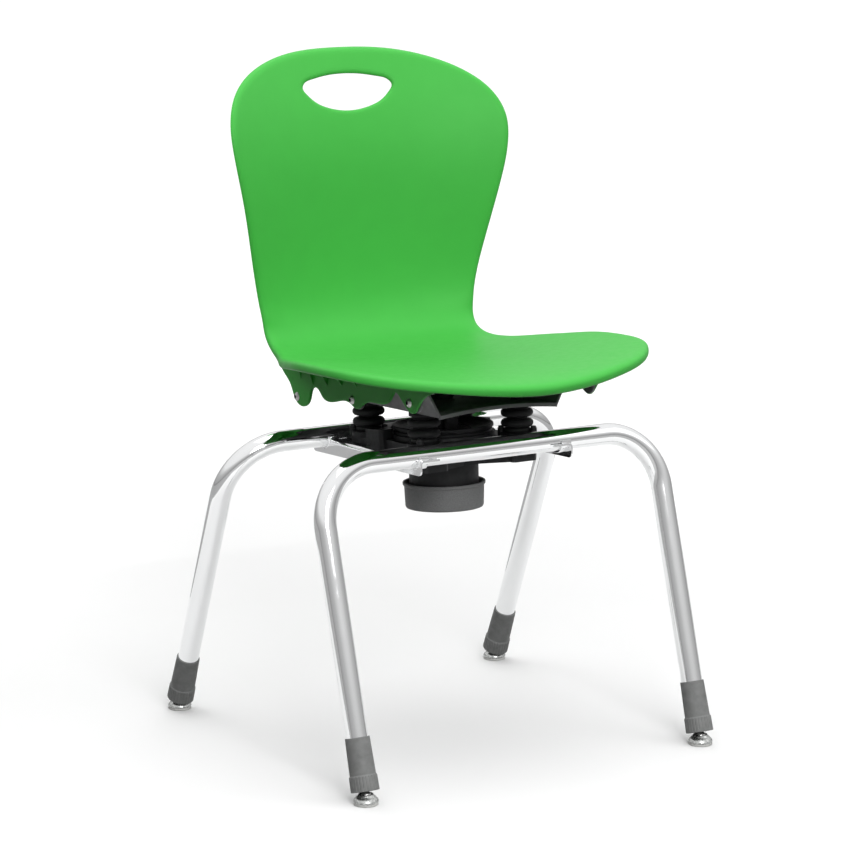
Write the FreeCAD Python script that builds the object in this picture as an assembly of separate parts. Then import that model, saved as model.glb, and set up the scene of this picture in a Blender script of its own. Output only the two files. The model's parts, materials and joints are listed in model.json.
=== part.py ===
"""Active-motion school chair: a plastic shell seat on a sprung gimbal over two bent-tube leg frames.

Row frame: origin on the floor under the middle of the chair, +Z up, the sitter faces -Y.
The mechanism is modelled in its own upright frame and set down on the two top tubes with their rake.
"""
import FreeCAD
import Part
import math
import os

Vec = FreeCAD.Vector
X_AXIS, Y_AXIS, Z_AXIS = Vec(1, 0, 0), Vec(0, 1, 0), Vec(0, 0, 1)
SIDES = (-1, 1)
QUARTERS = ((-1, -1), (1, -1), (-1, 1), (1, 1))
QUARTER_NAMES = ("front_right", "front_left", "rear_right", "rear_left")

# ---- driving dimensions, millimetres and degrees ----

# leg frames
TUBE_R = 12.7
TUBE_WALL = 1.6
LEG_X = 230.0
BEND_R = 70.0
FRONT_FOOT_Y, FRONT_TUBE_Y, FRONT_TUBE_Z = -227.2, -120.0, 364.8
REAR_FOOT_Y, REAR_TUBE_Y, REAR_TUBE_Z = 230.1, 88.2, 354.3
FOOT_Z = 13.0
TUBE_CUT_Z = 24.0

# boots and swivel glides
BOOT_TOP_R, BOOT_BOTTOM_R = 13.9, 16.4
BOOT_LENGTH = 61.0
BOOT_BAND = 18.0
BOOT_GAP = 15.0
BOOT_RECESS = 4.5
BALL_R, BALL_Z = 6.5, 9.5
STEM_R = 3.0
DOME_R, DOME_TOP_Z = 14.5, 15.5
PAD_R, PAD_H = 14.0, 3.0
FIT = 0.06

# seat shell, upper surface on the centre line: (y, z, radius of the curl across the sheet)
SHELL_T = 5.0
SHELL_PROFILE = (
    (-256.0, 451.5, 2800), (-245.0, 457.5, 2400), (-228.0, 462.2, 2000), (-191.0, 464.6, 1750),
    (-141.0, 463.5, 1450), (-91.0, 460.0, 1290), (-41.0, 455.0, 1130), (9.0, 450.0, 1090),
    (59.0, 446.0, 1150), (99.0, 444.8, 1240), (129.0, 447.0, 900), (155.0, 455.5, 600),
    (172.8, 470.0, 400), (183.0, 490.0, 355), (188.0, 520.0, 345), (188.5, 570.0, 335),
    (187.0, 630.0, 332), (188.3, 670.0, 345), (196.3, 715.0, 362), (210.3, 758.0, 385),
    (230.3, 806.0, 410))
SHEET_HALF = 250.0
# rolled rim: how far it turns down, and its own thickness
RIM_DEPTH, RIM_T = 12.0, 4.0
BACK_RIM_DEPTH, BACK_RIM_FROM_Z = 6.0, 485.0
WAIST_Y, WAIST_HALF = 131.8, 147.6
# plan outline of the seat (half width, y) and front outline of the backrest (half width, z)
SEAT_OUTLINE = (
    (WAIST_HALF, WAIST_Y), (151.5, 115.0), (160.5, 94.6), (172.5, 64.6), (185.6, 34.6), (197.4, 4.6),
    (207.0, -22.0), (212.5, -52.0), (214.0, -82.0), (212.5, -112.0), (205.2, -141.4), (189.5, -167.4),
    (150.0, -203.7), (115.6, -221.9), (80.4, -234.9), (40.2, -244.3), (0.0, -247.6))
BACK_OUTLINE = (
    (WAIST_HALF, 458.0), (152.4, 510.0), (161.8, 555.0), (171.8, 600.0), (182.3, 645.0), (191.3, 690.0),
    (192.4, 718.0), (183.0, 747.0), (161.5, 770.0), (126.0, 788.5), (70.0, 802.3), (0.0, 806.8))

# hand hole, seen from the front
HOLE_HALF, HOLE_END_Z = 71.0, 757.0
HOLE_TOP_Z, HOLE_BOTTOM_Z = 774.0, 729.0
HOLE_CORNER_R = 12.0

# side skirts under the seat
SKIRT_X, SKIRT_T = 120.0, 3.5
SKIRT_SCREWS = ((121.0, 399.1), (-11.8, 416.0), (-141.7, 433.3))

# mechanism frame: upright axis through the middle of the two top tubes
MECH_Y = (FRONT_TUBE_Y + REAR_TUBE_Y) / 2
MECH_Z = (FRONT_TUBE_Z + REAR_TUBE_Z) / 2
RAKE = -math.degrees(math.atan2(FRONT_TUBE_Z - REAR_TUBE_Z, REAR_TUBE_Y - FRONT_TUBE_Y))
TUBE_OFFSET = math.hypot(REAR_TUBE_Y - FRONT_TUBE_Y, FRONT_TUBE_Z - REAR_TUBE_Z) / 2
MECH = FreeCAD.Placement(Vec(0, MECH_Y, MECH_Z), FreeCAD.Rotation(X_AXIS, RAKE))

PIVOT_Z = 30.0
BELLOWS_AT = 64.0

# housing: a casting let in between the side rails, with ledges bolted up against their undersides
HOUSING_TOP, PAD_TOP, HOUSING_BOTTOM = 8.0, 3.0, -24.5
BODY_HALF, BODY_END = 77.7, 86.0
BODY_CORNER_R = 5.0
DECK_FRONT_Y, DECK_FRONT_TOP, DECK_REAR_TOP = 14.0, 15.0, 10.5
WAIST_X, PAD_INNER = 71.0, 44.0
WEB = ((62.0, -85.9), (12.0, -66.0))
RING_SEAT_R, BELLOWS_SEAT_R = 62.3, 20.5
LEDGE_HALF, LEDGE_BOTTOM = 92.0, -12.0
LEDGES = ((-84.0, -46.0), (16.0, 84.0))
BOSS_OFFSET, BOSS_R, BOSS_TOP = 13.8, 4.2, 13.0
BOSS_BORE_R = 1.6
BOLT_R = 6.0
CORING = ((47.5, 73.5), (49.0, 80.0), -2.0)
RAIL_BOLT_X, RAIL_BOLT_YS, RAIL_BOLT_R = 85.0, (30.0, -56.0), 2.0
SPRING_BORE_R, SPRING_BORE_TOP = 29.0, -4.0

# dust ring
RING_OUT_R, RING_IN_R, RING_TOP = 60.5, 34.0, 18.0

# gimbal
EAR_IN, EAR_OUT, EAR_HALF = 18.0, 23.0, 8.0
YOKE_R, YOKE_T = 32.0, 3.0
TRUNNION_R = 4.0
GIMBAL_OUT_R, GIMBAL_IN_R, GIMBAL_HALF_H = 16.0, 9.0, 6.0
DRAW_HOLE_R = 9.5

# seat bracket, a folded sheet tray
SHEET_T = 2.5
PAN_Z, PAN_HALF = 45.0, 80.0
PAN_FRONT_Y, PAN_REAR_Y = -127.0, 112.0
PAN_ARCH, LIP_DROP = 5.0, 1.8
PAN_FLANGE_Z, PAN_FLANGE_HALF = 83.0, 100.0
EAR_X = SKIRT_X - SKIRT_T / 2 - 0.05
WING_FRONT_Y, WING_REAR_Y = -146.0, 146.0
EAR_R, EAR_SHIFT = 12.0, -9.0

# rubber bellows and the springs inside them
BELLOWS_R, BELLOWS_NECK_R, BELLOWS_BORE_R = 19.3, 11.2, 9.6
BELLOWS_BASE_R, BELLOWS_BASE_H, BELLOWS_HEAD_R = 15.4, 5.0, 17.5
BELLOWS_RIDGES = (19.3, 31.6)
RIDGE_HALF = 4.6
BELLOWS_TOP = PAN_Z - 0.3

# spring canister, tension spring and knob
CAN_R, CAN_T, CAN_BOTTOM, CAN_SPIGOT = 41.5, 2.5, -72.0, -15.0
CAN_FLOOR = 4.0
HUB_R = 15.0
SPRING_SEAT_Z, SPRING_SEAT_T = -58.0, 4.0
SPRING_R, SPRING_WIRE_R, SPRING_TURNS = 24.0, 2.8, 5.5
WASHER_T = 3.0
KNOB_RIM_R, KNOB_FOOT_R, KNOB_WALL = 49.5, 46.8, 2.8
KNOB_TOP, KNOB_BOTTOM = -51.5, -82.5
KNOB_FLOOR = 3.0
INSERT_R, HUB_TOP = 10.0, -61.0

# side rails and tube saddles
RAIL_TOP = -3.0
RAIL_IN, RAIL_OUT, RAIL_BOTTOM = 78.0, 104.0, -20.5
RAIL_FRONT_Y, RAIL_REAR_Y = -121.5, 130.0
RAIL_T = 2.0
RAIL_CORNER_R, RAIL_FOLD_R = 6.0, 4.5
SADDLE_R, SADDLE_WIDTH = TUBE_R + 2.4, 13.0

# fasteners and corner springs
SKIRT_SCREW_R, SKIRT_SCREW_SUNK, SKIRT_SHANK_R, SKIRT_SHANK_END = 6.0, 2.6, 2.5, 1.5
SKIRT_RECESS_R, SKIRT_RECESS_FROM = 2.3, 1.4
DRAW_BOLT_END, DRAW_WASHER_R, DRAW_WASHER_Z = -74.5, 15.0, 50.0
DRAW_CUSHION_R = 13.5
DRAW_HEAD_FLATS, DRAW_HEAD_H = 19.0, 8.0
STUD_R, STUD_DISC_R, STUD_DISC_Z, STUD_END = 4.0, 9.4, 41.5, 12.0
NUT_FLATS, NUT_H = 13.0, 6.0
BOSS_SCREW_HEAD_R, BOSS_SCREW_HEAD_H, BOSS_SCREW_DEPTH = 3.4, 2.4, 8.0
RAIL_BOLT_FLATS, RAIL_BOLT_HEAD_H = 7.0, 3.0
CORNER_SPRING_R, CORNER_WIRE_R, CORNER_SPRING_TURNS = 7.2, 1.3, 6
CORNER_SPRING_TOP = STUD_DISC_Z - 0.1
CAN_KEY_HALF, CAN_KEY_DEPTH = 2.0, 3.0
KNOB_RIBS, KNOB_RIB_HALF, KNOB_RIB_RISE = 6, 1.2, 2.0

os.makedirs("parts", exist_ok=True)


# ---- helpers ----

def save(name, *solids):
    """Write one node; several solids make a group of separate pieces."""
    shape = solids[0] if len(solids) == 1 else Part.makeCompound(list(solids))
    for solid in shape.Solids:
        if not solid.isValid():
            print("not valid:", name)
    shape.exportStep("parts/%s.step" % name)


def on_mech(shape):
    """Carry a shape from the upright mechanism frame onto the raked tubes."""
    moved = shape.copy()
    moved.Placement = MECH.multiply(moved.Placement)
    return moved


def cylinder(radius, low, high, x=0.0, y=0.0):
    return Part.makeCylinder(radius, high - low, Vec(x, y, low), Z_AXIS)


def tube(outer, inner, low, high, x=0.0, y=0.0):
    return cylinder(outer, low, high, x, y).cut(cylinder(inner, low - 1, high + 1, x, y))


def block(low, high):
    size = [b - a for a, b in zip(low, high)]
    return Part.makeBox(size[0], size[1], size[2], Vec(*low))


def slab(x0, x1, y0, y1, z0, z1, corner):
    """An upright slab whose four upright edges are rounded."""
    solid = block((x0, y0, z0), (x1, y1, z1))
    upright = [e for e in solid.Edges if abs(e.tangentAt(e.FirstParameter).z) > 0.9]
    return solid.makeFillet(corner, upright)


def turned(points, smooth=False):
    """Turn a closed (radius, height) outline about the upright axis."""
    corners = [Vec(r, 0, z) for r, z in points]
    if smooth:
        curve = Part.BSplineCurve()
        curve.interpolate(corners)
        wire = Part.Wire([curve.toShape(), Part.makeLine(corners[-1], corners[0])])
    else:
        wire = Part.makePolygon(corners + corners[:1])
    return Part.Face(wire).revolve(Vec(0, 0, 0), Z_AXIS, 360)


def hexagon(across_flats, low, high, x=0.0, y=0.0):
    r = across_flats / math.sqrt(3)
    ring = [Vec(x + r * math.cos(math.radians(60 * k)), y + r * math.sin(math.radians(60 * k)), low)
            for k in range(7)]
    return Part.Face(Part.makePolygon(ring)).extrude(Z_AXIS * (high - low))


def screw(x, y, under_head, head_r, shank_r, depth, head_h):
    """A pan-head screw pointing down, with a hexagon recess."""
    head = cylinder(head_r, under_head, under_head + head_h, x, y)
    head = head.makeFillet(head_h * 0.45, [e for e in head.Edges if e.BoundBox.ZMin > under_head + 0.5
                                           and e.BoundBox.XLength > head_r])
    recess = hexagon(head_r * 0.9, under_head + head_h * 0.45, under_head + head_h + 1, x, y)
    return head.cut(recess).fuse(cylinder(shank_r, under_head - depth, under_head, x, y))


def coil(radius, wire_r, low, high, turns):
    """A compression spring: a helix whose wire stays between the two levels."""
    rise = high - low - 2 * wire_r
    helix = Part.makeHelix(rise / turns, rise, radius)
    helix.translate(Vec(0, 0, low + wire_r))
    section = Part.Wire(Part.Circle(Vec(radius, 0, low + wire_r), Y_AXIS, wire_r).toShape())
    return Part.Wire(helix.Edges).makePipeShell([section], True, True)


# ---- leg frames ----

def leg_frame(foot_y, tube_y, tube_z):
    """One inverted U of round tube, leaning fore or aft, cut off level inside the boots."""
    lean = Vec(0, foot_y - tube_y, FOOT_Z - tube_z).normalize()
    corner = Vec(LEG_X, tube_y, tube_z)
    foot = Vec(LEG_X, foot_y, FOOT_Z) - lean * (TUBE_CUT_Z - FOOT_Z)
    bend_foot, bend_top = corner + lean * BEND_R, corner - X_AXIS * BEND_R
    middle = bend_top + lean * BEND_R + (X_AXIS - lean) * (BEND_R / math.sqrt(2))

    def mirror(v):
        return Vec(-v.x, v.y, v.z)

    path = Part.Wire([
        Part.makeLine(foot, bend_foot), Part.Arc(bend_foot, middle, bend_top).toShape(),
        Part.makeLine(bend_top, mirror(bend_top)),
        Part.Arc(mirror(bend_top), mirror(middle), mirror(bend_foot)).toShape(),
        Part.makeLine(mirror(bend_foot), mirror(foot))])
    skins = []
    for radius in (TUBE_R, TUBE_R - TUBE_WALL):
        section = Part.Wire(Part.Circle(foot, lean, radius).toShape())
        skins.append(path.makePipeShell([section], True, False))
    return skins[0].cut(skins[1])


def foot_placement(side, foot_y, tube_y, tube_z):
    """Frame of one foot: +Z up along the leg, origin where the leg axis meets the ball."""
    up = Vec(0, tube_y - foot_y, tube_z - FOOT_Z).normalize()
    ball = Vec(side * LEG_X, foot_y, FOOT_Z) - up * ((FOOT_Z - BALL_Z) / up.z)
    return FreeCAD.Placement(ball, FreeCAD.Rotation(Z_AXIS, up)), ball


def boot():
    """Tapered rubber boot over the tube's end, with a ribbed band at its foot."""
    low, top = BOOT_GAP - BALL_Z, BOOT_GAP - BALL_Z + BOOT_LENGTH
    band = low + BOOT_BAND
    band_r = BOOT_BOTTOM_R - 0.9
    shell = turned([(0, low), (BOOT_BOTTOM_R - 1.2, low), (BOOT_BOTTOM_R, low + 1.2), (band_r, band),
                    (band_r - 0.7, band + 0.8), (BOOT_TOP_R + 0.15, top - 1.0), (BOOT_TOP_R - 0.6, top),
                    (0, top)])
    tube_end = TUBE_CUT_Z - BALL_Z
    shell = shell.cut(cylinder(TUBE_R, tube_end, top + 1)).cut(cylinder(4.0, low - 1, tube_end + 1))
    return shell.cut(cylinder(BOOT_BOTTOM_R - 1.6, low - 1, low + BOOT_RECESS))


def glide_stem():
    """Ball stud fixed in the boot."""
    tube_end = TUBE_CUT_Z - BALL_Z
    neck = cylinder(STEM_R, 0, BOOT_GAP - BALL_Z + 0.5)
    shank = cylinder(4.0, BOOT_GAP - BALL_Z + 0.5, tube_end + 6)
    plug = cylinder(TUBE_R - TUBE_WALL - 0.05, tube_end + 6, tube_end + 14)
    return Part.makeSphere(BALL_R).fuse(neck).fuse(shank).fuse(plug)


def glide_dome():
    """Pressed-steel cup that holds the ball, upright on the floor; origin at the ball's centre."""
    low, top = PAD_H - BALL_Z, DOME_TOP_Z - BALL_Z
    skin = turned([(0, low), (DOME_R, low), (DOME_R, low + 2.2), (DOME_R - 1.3, low + 5.2),
                   (DOME_R - 4.0, low + 8.4), (9.2, 3.4), (0, 3.4)])
    socket = Part.makeSphere(BALL_R + FIT)
    mouth = Part.makeCone(5.6, 8.4, top - 2.2, Vec(0, 0, 2.2), Z_AXIS)
    return skin.cut(socket).cut(mouth)


def glide_pad():
    """Nylon sole clipped under the dome."""
    disc = cylinder(PAD_R, -BALL_Z, PAD_H - BALL_Z)
    return disc.makeFillet(0.8, [e for e in disc.Edges if e.BoundBox.ZMax < 0.1 - BALL_Z]).cut(
        Part.makeSphere(BALL_R + FIT))


# ---- seat shell ----

def profile_curve():
    curve = Part.BSplineCurve()
    curve.interpolate([Vec(0, y, z) for y, z, _ in SHELL_PROFILE])
    return curve


def sheet_point(curve, station, x, depth):
    """A point of the sheet: x across it and depth below its upper face."""
    y, z, curl = SHELL_PROFILE[station]
    point = Vec(0, y, z)
    tangent = curve.tangent(curve.parameter(point))[0]
    normal = Vec(0, -tangent.z, tangent.y)
    return point + X_AXIS * x + normal * (x * x / (2 * curl) - depth)


def sheet(upper, lower):
    """The whole curled sheet between two depths, before its outline is cut."""
    curve = profile_curve()
    faces = []
    span = [-1.0, -0.8, -0.6, -0.4, -0.2, 0.0, 0.2, 0.4, 0.6, 0.8, 1.0]
    for depth in (upper, lower):
        grid = [[sheet_point(curve, s, SHEET_HALF * u, depth) for u in span]
                for s in range(len(SHELL_PROFILE))]
        surface = Part.BSplineSurface()
        surface.interpolate(grid)
        faces.append(surface.toShape())
    top, bottom = faces
    ends = [Part.makeRuledSurface(a, b) for a, b in zip(top.Edges, bottom.Edges)]
    skin = Part.makeCompound(faces + ends)
    skin.sewShape()
    solid = Part.makeSolid(skin.Shells[0] if skin.Shells else Part.Shell(skin.Faces))
    if solid.Volume < 0:
        solid.reverse()
    return solid


def drawn_in(points, inset):
    """The half outline moved inwards by one distance, square to its own direction."""
    moved = []
    for k, (w, v) in enumerate(points):
        w0, v0 = points[max(k - 1, 0)]
        w1, v1 = points[k + 1] if k + 1 < len(points) else (-points[k - 1][0], points[k - 1][1])
        run = math.hypot(w1 - w0, v1 - v0)
        turn = 1 if points[-1][1] > points[0][1] else -1
        moved.append((w - inset * turn * (v1 - v0) / run, v + inset * turn * (w1 - w0) / run))
    return [(moved[0][0], points[0][1])] + moved[1:-1] + [(0.0, moved[-1][1])]


def outline_prism(points, to_point, along):
    """Both halves of an outline as one closed face, swept along a direction."""
    right = Part.BSplineCurve()
    right.interpolate([to_point(w, v) for w, v in points] + [to_point(-w, v) for w, v in points[-2::-1]])
    ends = Part.makeLine(right.EndPoint, right.StartPoint)
    return Part.Face(Part.Wire([right.toShape(), ends])).extrude(along)


def shell_region(inset):
    """Everything inside the shell's outline, seen from above for the seat and from the front above it."""
    seat = outline_prism(drawn_in(SEAT_OUTLINE, inset), lambda w, y: Vec(w, y, 380), Z_AXIS * 160)
    back = outline_prism(drawn_in(BACK_OUTLINE, inset), lambda w, z: Vec(w, WAIST_Y, z), Y_AXIS * 140)
    waist = WAIST_HALF - inset
    return seat.fuse(back).fuse(block((-waist, WAIST_Y, 400), (waist, 300, BACK_OUTLINE[0][1])))


def hand_hole():
    """Grip slot: a shallow arch over a deeper bowl, cut fore and aft."""
    left, right = Vec(-HOLE_HALF, 0, HOLE_END_Z), Vec(HOLE_HALF, 0, HOLE_END_Z)
    over = Part.Arc(left, Vec(0, 0, HOLE_TOP_Z), right).toShape()
    under = Part.Arc(right, Vec(0, 0, HOLE_BOTTOM_Z), left).toShape()
    slot = Part.Face(Part.Wire([over, under])).extrude(Y_AXIS * 200)
    slot.translate(Vec(0, 120, 0))
    return slot.makeFillet(HOLE_CORNER_R, [e for e in slot.Edges if e.BoundBox.YLength > 150])


def skirt(side, under):
    """One scalloped wall: lobes at the three screws, hollows between them."""
    (y2, z2), (y1, z1), (y0, z0) = SKIRT_SCREWS
    x = side * SKIRT_X - SKIRT_T / 2

    def at(y, z):
        return Vec(x, y, z)

    lower = [at(168, 436), at(155, 424), at(138, 411.5), at(127, 396), at(y2 - 10, z2 - 10.3),
             at(y2 - 29, z2 - 1), at(y2 - 37, z2 + 15), at(y2 - 50, z2 + 17), at(y2 - 62, z2 + 8.5),
             at(y2 - 78, z2 + 5.5), at(y1 + 4.5, z1 - 5.5), at(y1 - 9.5, z1 - 9.3),
             at(y1 - 25, z1 - 1.5), at(y1 - 71, z1 + 6), at(y1 - 86, z1 + 13), at(y1 - 97, z1 + 24),
             at(y0 + 16, z0 - 1), at(y0 - 9, z0 - 11.2), at(y0 - 23, z0 + 3), at(y0 - 46, z0 + 17),
             at(y0 - 62, z0 + 22)]
    edge = Part.BSplineCurve()
    edge.interpolate(lower)
    top = [lower[-1] + Z_AXIS * 40, lower[0] + Z_AXIS * 60]
    roof = Part.makePolygon([lower[-1]] + top + [lower[0]])
    wall = Part.Face(Part.Wire([edge.toShape()] + roof.Edges)).extrude(X_AXIS * SKIRT_T)
    return wall.common(under)


def under_sheet():
    """The space below the middle of the sheet's thickness, where the skirts stand."""
    curve = profile_curve()
    rim = [sheet_point(curve, s, SKIRT_X, SHELL_T / 2) for s in range(13)]
    line = Part.BSplineCurve()
    line.interpolate(rim)
    floor = Part.makePolygon([rim[-1], Vec(SKIRT_X, 400, 520), Vec(SKIRT_X, 400, 300),
                              Vec(SKIRT_X, -300, 300), rim[0]])
    space = Part.Face(Part.Wire([line.toShape()] + floor.Edges)).extrude(X_AXIS * -2 * SKIRT_X - X_AXIS * 20)
    space.translate(X_AXIS * 10)
    return space


def seat_shell():
    """One moulding: the sheet, thicker only along its rim, with a hand hole and a skirt on each side."""
    body = sheet(0.0, RIM_DEPTH).common(shell_region(0.0))
    body = body.cut(sheet(SHELL_T, RIM_DEPTH + 6).common(shell_region(RIM_T))).cut(hand_hole())
    above = block((-SHEET_HALF, 0, BACK_RIM_FROM_Z), (SHEET_HALF, 400, 900))
    body = body.cut(sheet(BACK_RIM_DEPTH, RIM_DEPTH + 6).common(above))
    under = under_sheet()
    for side in SIDES:
        wall = skirt(side, under)
        for y, z in SKIRT_SCREWS:
            hole = Part.makeCylinder(SKIRT_SHANK_R + 0.1, 40, Vec(side * SKIRT_X - 20, y, z), X_AXIS)
            wall = wall.cut(hole)
        body = body.fuse(wall)
    return body.removeSplitter()


def skirt_screws():
    """Round-head screws driven in from both sides through skirt and bracket ear."""
    pieces = []
    for side in SIDES:
        out = X_AXIS * side
        face = side * (SKIRT_X + SKIRT_T / 2)
        for y, z in SKIRT_SCREWS:
            dome = Part.makeSphere(SKIRT_SCREW_R, Vec(face - side * SKIRT_SCREW_SUNK, y, z))
            keep = Part.makeCylinder(SKIRT_SCREW_R + 1, SKIRT_SCREW_R, Vec(face, y, z), out)
            recess = Part.makeCylinder(SKIRT_RECESS_R, SKIRT_SCREW_R,
                                       Vec(face + side * SKIRT_RECESS_FROM, y, z), out)
            reach = SKIRT_T + SHEET_T + SKIRT_SHANK_END
            shank = Part.makeCylinder(SKIRT_SHANK_R, reach, Vec(face, y, z), out * -1)
            pieces.append(dome.common(keep).cut(recess).fuse(shank))
    return pieces


# ---- seat bracket, in the mechanism frame ----

def seat_bracket():
    """Tray with an arched front lip, sloping sides, top flanges and six screw ears."""
    t = SHEET_T
    lean = (PAN_FLANGE_HALF - PAN_HALF) / (PAN_FLANGE_Z - PAN_Z)
    drop = t * math.hypot(1, lean)

    def section(y):
        out = [Vec(PAN_HALF, y, PAN_Z), Vec(PAN_FLANGE_HALF, y, PAN_FLANGE_Z), Vec(EAR_X, y, PAN_FLANGE_Z),
               Vec(EAR_X, y, PAN_FLANGE_Z + t), Vec(PAN_FLANGE_HALF - drop + lean * t, y, PAN_FLANGE_Z + t),
               Vec(PAN_HALF - drop + lean * t, y, PAN_Z + t)]
        left = [Vec(-v.x, v.y, v.z) for v in reversed(out)]
        return Part.makePolygon(out + left + out[:1])

    tray = Part.Face(section(PAN_FRONT_Y)).extrude(Y_AXIS * (PAN_REAR_Y - PAN_FRONT_Y))
    for side in SIDES:
        wing = block((PAN_FLANGE_HALF, WING_FRONT_Y, PAN_FLANGE_Z), (EAR_X, WING_REAR_Y, PAN_FLANGE_Z + t))
        if side < 0:
            wing = wing.mirror(Vec(0, 0, 0), X_AXIS)
        tray = tray.fuse(wing)
    arch_r = (PAN_HALF ** 2 + PAN_ARCH ** 2) / (2 * PAN_ARCH)
    lift = Part.makeCylinder(arch_r, 22, Vec(0, PAN_FRONT_Y - 1, PAN_Z + PAN_ARCH - arch_r), Y_AXIS)
    roof = Part.makeCylinder(arch_r + t, 21, Vec(0, PAN_FRONT_Y, PAN_Z + PAN_ARCH - arch_r), Y_AXIS)
    keep = block((-PAN_HALF + 4, PAN_FRONT_Y, PAN_Z), (PAN_HALF - 4, PAN_FRONT_Y + 21, PAN_Z + 20))
    tray = tray.cut(lift).fuse(roof.common(keep).cut(lift))
    arch_at = Vec(0, PAN_FRONT_Y, PAN_Z + PAN_ARCH - arch_r)
    lip = Part.makeCylinder(arch_r + t, t, arch_at, Y_AXIS).cut(
        Part.makeCylinder(arch_r - LIP_DROP, t, arch_at, Y_AXIS))
    keep = block((-PAN_HALF, PAN_FRONT_Y, PAN_Z - LIP_DROP), (PAN_HALF, PAN_FRONT_Y + t, PAN_Z + 20))
    tray = tray.fuse(lip.common(keep))
    tray = tray.cut(cylinder(DRAW_HOLE_R, PAN_Z - 5, PAN_Z + 10))
    for sx, sy in QUARTERS:
        tray = tray.cut(cylinder(4.0, PAN_Z - 5, PAN_Z + 10, sx * BELLOWS_AT, sy * BELLOWS_AT))
    to_local = MECH.inverse()
    for side in SIDES:
        for y, z in SKIRT_SCREWS:
            at = to_local.multVec(Vec(side * SKIRT_X, y, z))
            middle = Vec(EAR_X - t, at.y + EAR_SHIFT, at.z + 1.5)
            ear = block((EAR_X - t, middle.y - EAR_R, middle.z), (EAR_X, middle.y + EAR_R, PAN_FLANGE_Z + t))
            ear = ear.fuse(Part.makeCylinder(EAR_R, t, middle, X_AXIS))
            if side < 0:
                ear = ear.mirror(Vec(0, 0, 0), X_AXIS)
            tray = tray.fuse(ear).cut(Part.makeCylinder(2.5, 12, Vec(side * EAR_X - 6, at.y, at.z), X_AXIS))
    return tray.removeSplitter()


# ---- gimbal, in the mechanism frame ----

def yoke(plate_low, direction, across):
    """Round plate with two ears; the ears stand along +-across and reach the pivot level."""
    plate = cylinder(YOKE_R, plate_low, plate_low + YOKE_T)
    ear_end = plate_low if direction < 0 else plate_low + YOKE_T
    for side in SIDES:
        low, high = sorted((PIVOT_Z, ear_end))
        ear = block((-EAR_HALF, EAR_IN, low), (EAR_HALF, EAR_OUT, high))
        ear = ear.fuse(Part.makeCylinder(EAR_HALF, EAR_OUT - EAR_IN, Vec(0, EAR_IN, PIVOT_Z), Y_AXIS))
        ear = ear.cut(Part.makeCylinder(TRUNNION_R + FIT, 20, Vec(0, EAR_IN - 5, PIVOT_Z), Y_AXIS))
        if side < 0:
            ear = ear.mirror(Vec(0, 0, 0), Y_AXIS)
        plate = plate.fuse(ear)
    if across == "x":
        plate.rotate(Vec(0, 0, 0), Z_AXIS, 90)
    return plate.cut(cylinder(DRAW_HOLE_R, plate_low - 1, plate_low + YOKE_T + 1)).removeSplitter()


def gimbal_ring():
    ring = cylinder(GIMBAL_OUT_R, PIVOT_Z - GIMBAL_HALF_H, PIVOT_Z + GIMBAL_HALF_H)
    for axis in (X_AXIS, Y_AXIS):
        start = Vec(0, 0, PIVOT_Z) - axis * EAR_OUT
        ring = ring.fuse(Part.makeCylinder(TRUNNION_R, 2 * EAR_OUT, start, axis))
    return ring.cut(cylinder(GIMBAL_IN_R, PIVOT_Z - 10, PIVOT_Z + 10))


# ---- housing and what it carries, in the mechanism frame ----

def housing_body(low, high):
    """The casting's plan: rear bar, narrower middle, two front pads and the web between them."""
    plan = slab(-BODY_HALF, BODY_HALF, DECK_FRONT_Y, BODY_END, low, high, BODY_CORNER_R)
    plan = plan.fuse(block((-WAIST_X, -PAD_INNER - 6, low), (WAIST_X, DECK_FRONT_Y + 6, high)))
    front = [Vec(x, y, low) for x, y in WEB] + [Vec(-x, y, low) for x, y in WEB[::-1]]
    corners = front + [Vec(-WEB[0][0], 0, low), Vec(WEB[0][0], 0, low)]
    plan = plan.fuse(Part.Face(Part.makePolygon(corners + corners[:1])).extrude(Z_AXIS * (high - low)))
    for side in SIDES:
        x0, x1 = sorted((side * PAD_INNER, side * BODY_HALF))
        plan = plan.fuse(slab(x0, x1, -BODY_END, -PAD_INNER, low, high, BODY_CORNER_R))
    return plan


def rear_deck():
    """Raised rear of the casting, its top rising forwards, pocketed round the bellows and the ring."""
    deck = slab(-BODY_HALF, BODY_HALF, DECK_FRONT_Y, BODY_END, PAD_TOP, DECK_FRONT_TOP, BODY_CORNER_R)
    over = [Vec(-100, DECK_FRONT_Y, DECK_FRONT_TOP), Vec(-100, BODY_END, DECK_REAR_TOP),
            Vec(-100, BODY_END, DECK_FRONT_TOP + 1), Vec(-100, DECK_FRONT_Y, DECK_FRONT_TOP + 1)]
    deck = deck.cut(Part.Face(Part.makePolygon(over + over[:1])).extrude(X_AXIS * 200))
    deck = deck.cut(cylinder(RING_SEAT_R, HOUSING_TOP, DECK_FRONT_TOP + 1))
    for side in SIDES:
        x = side * BELLOWS_AT
        deck = deck.cut(cylinder(BELLOWS_SEAT_R, HOUSING_TOP, DECK_FRONT_TOP + 1, x, BELLOWS_AT))
    return deck


def boss_places():
    for sx, sy in QUARTERS:
        for step in (-BOSS_OFFSET, BOSS_OFFSET):
            yield sx * (BELLOWS_AT + step), sy * (BELLOWS_AT + step)


def rail_bolt_places():
    for side in SIDES:
        for y in RAIL_BOLT_YS:
            yield side * RAIL_BOLT_X, y


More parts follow.
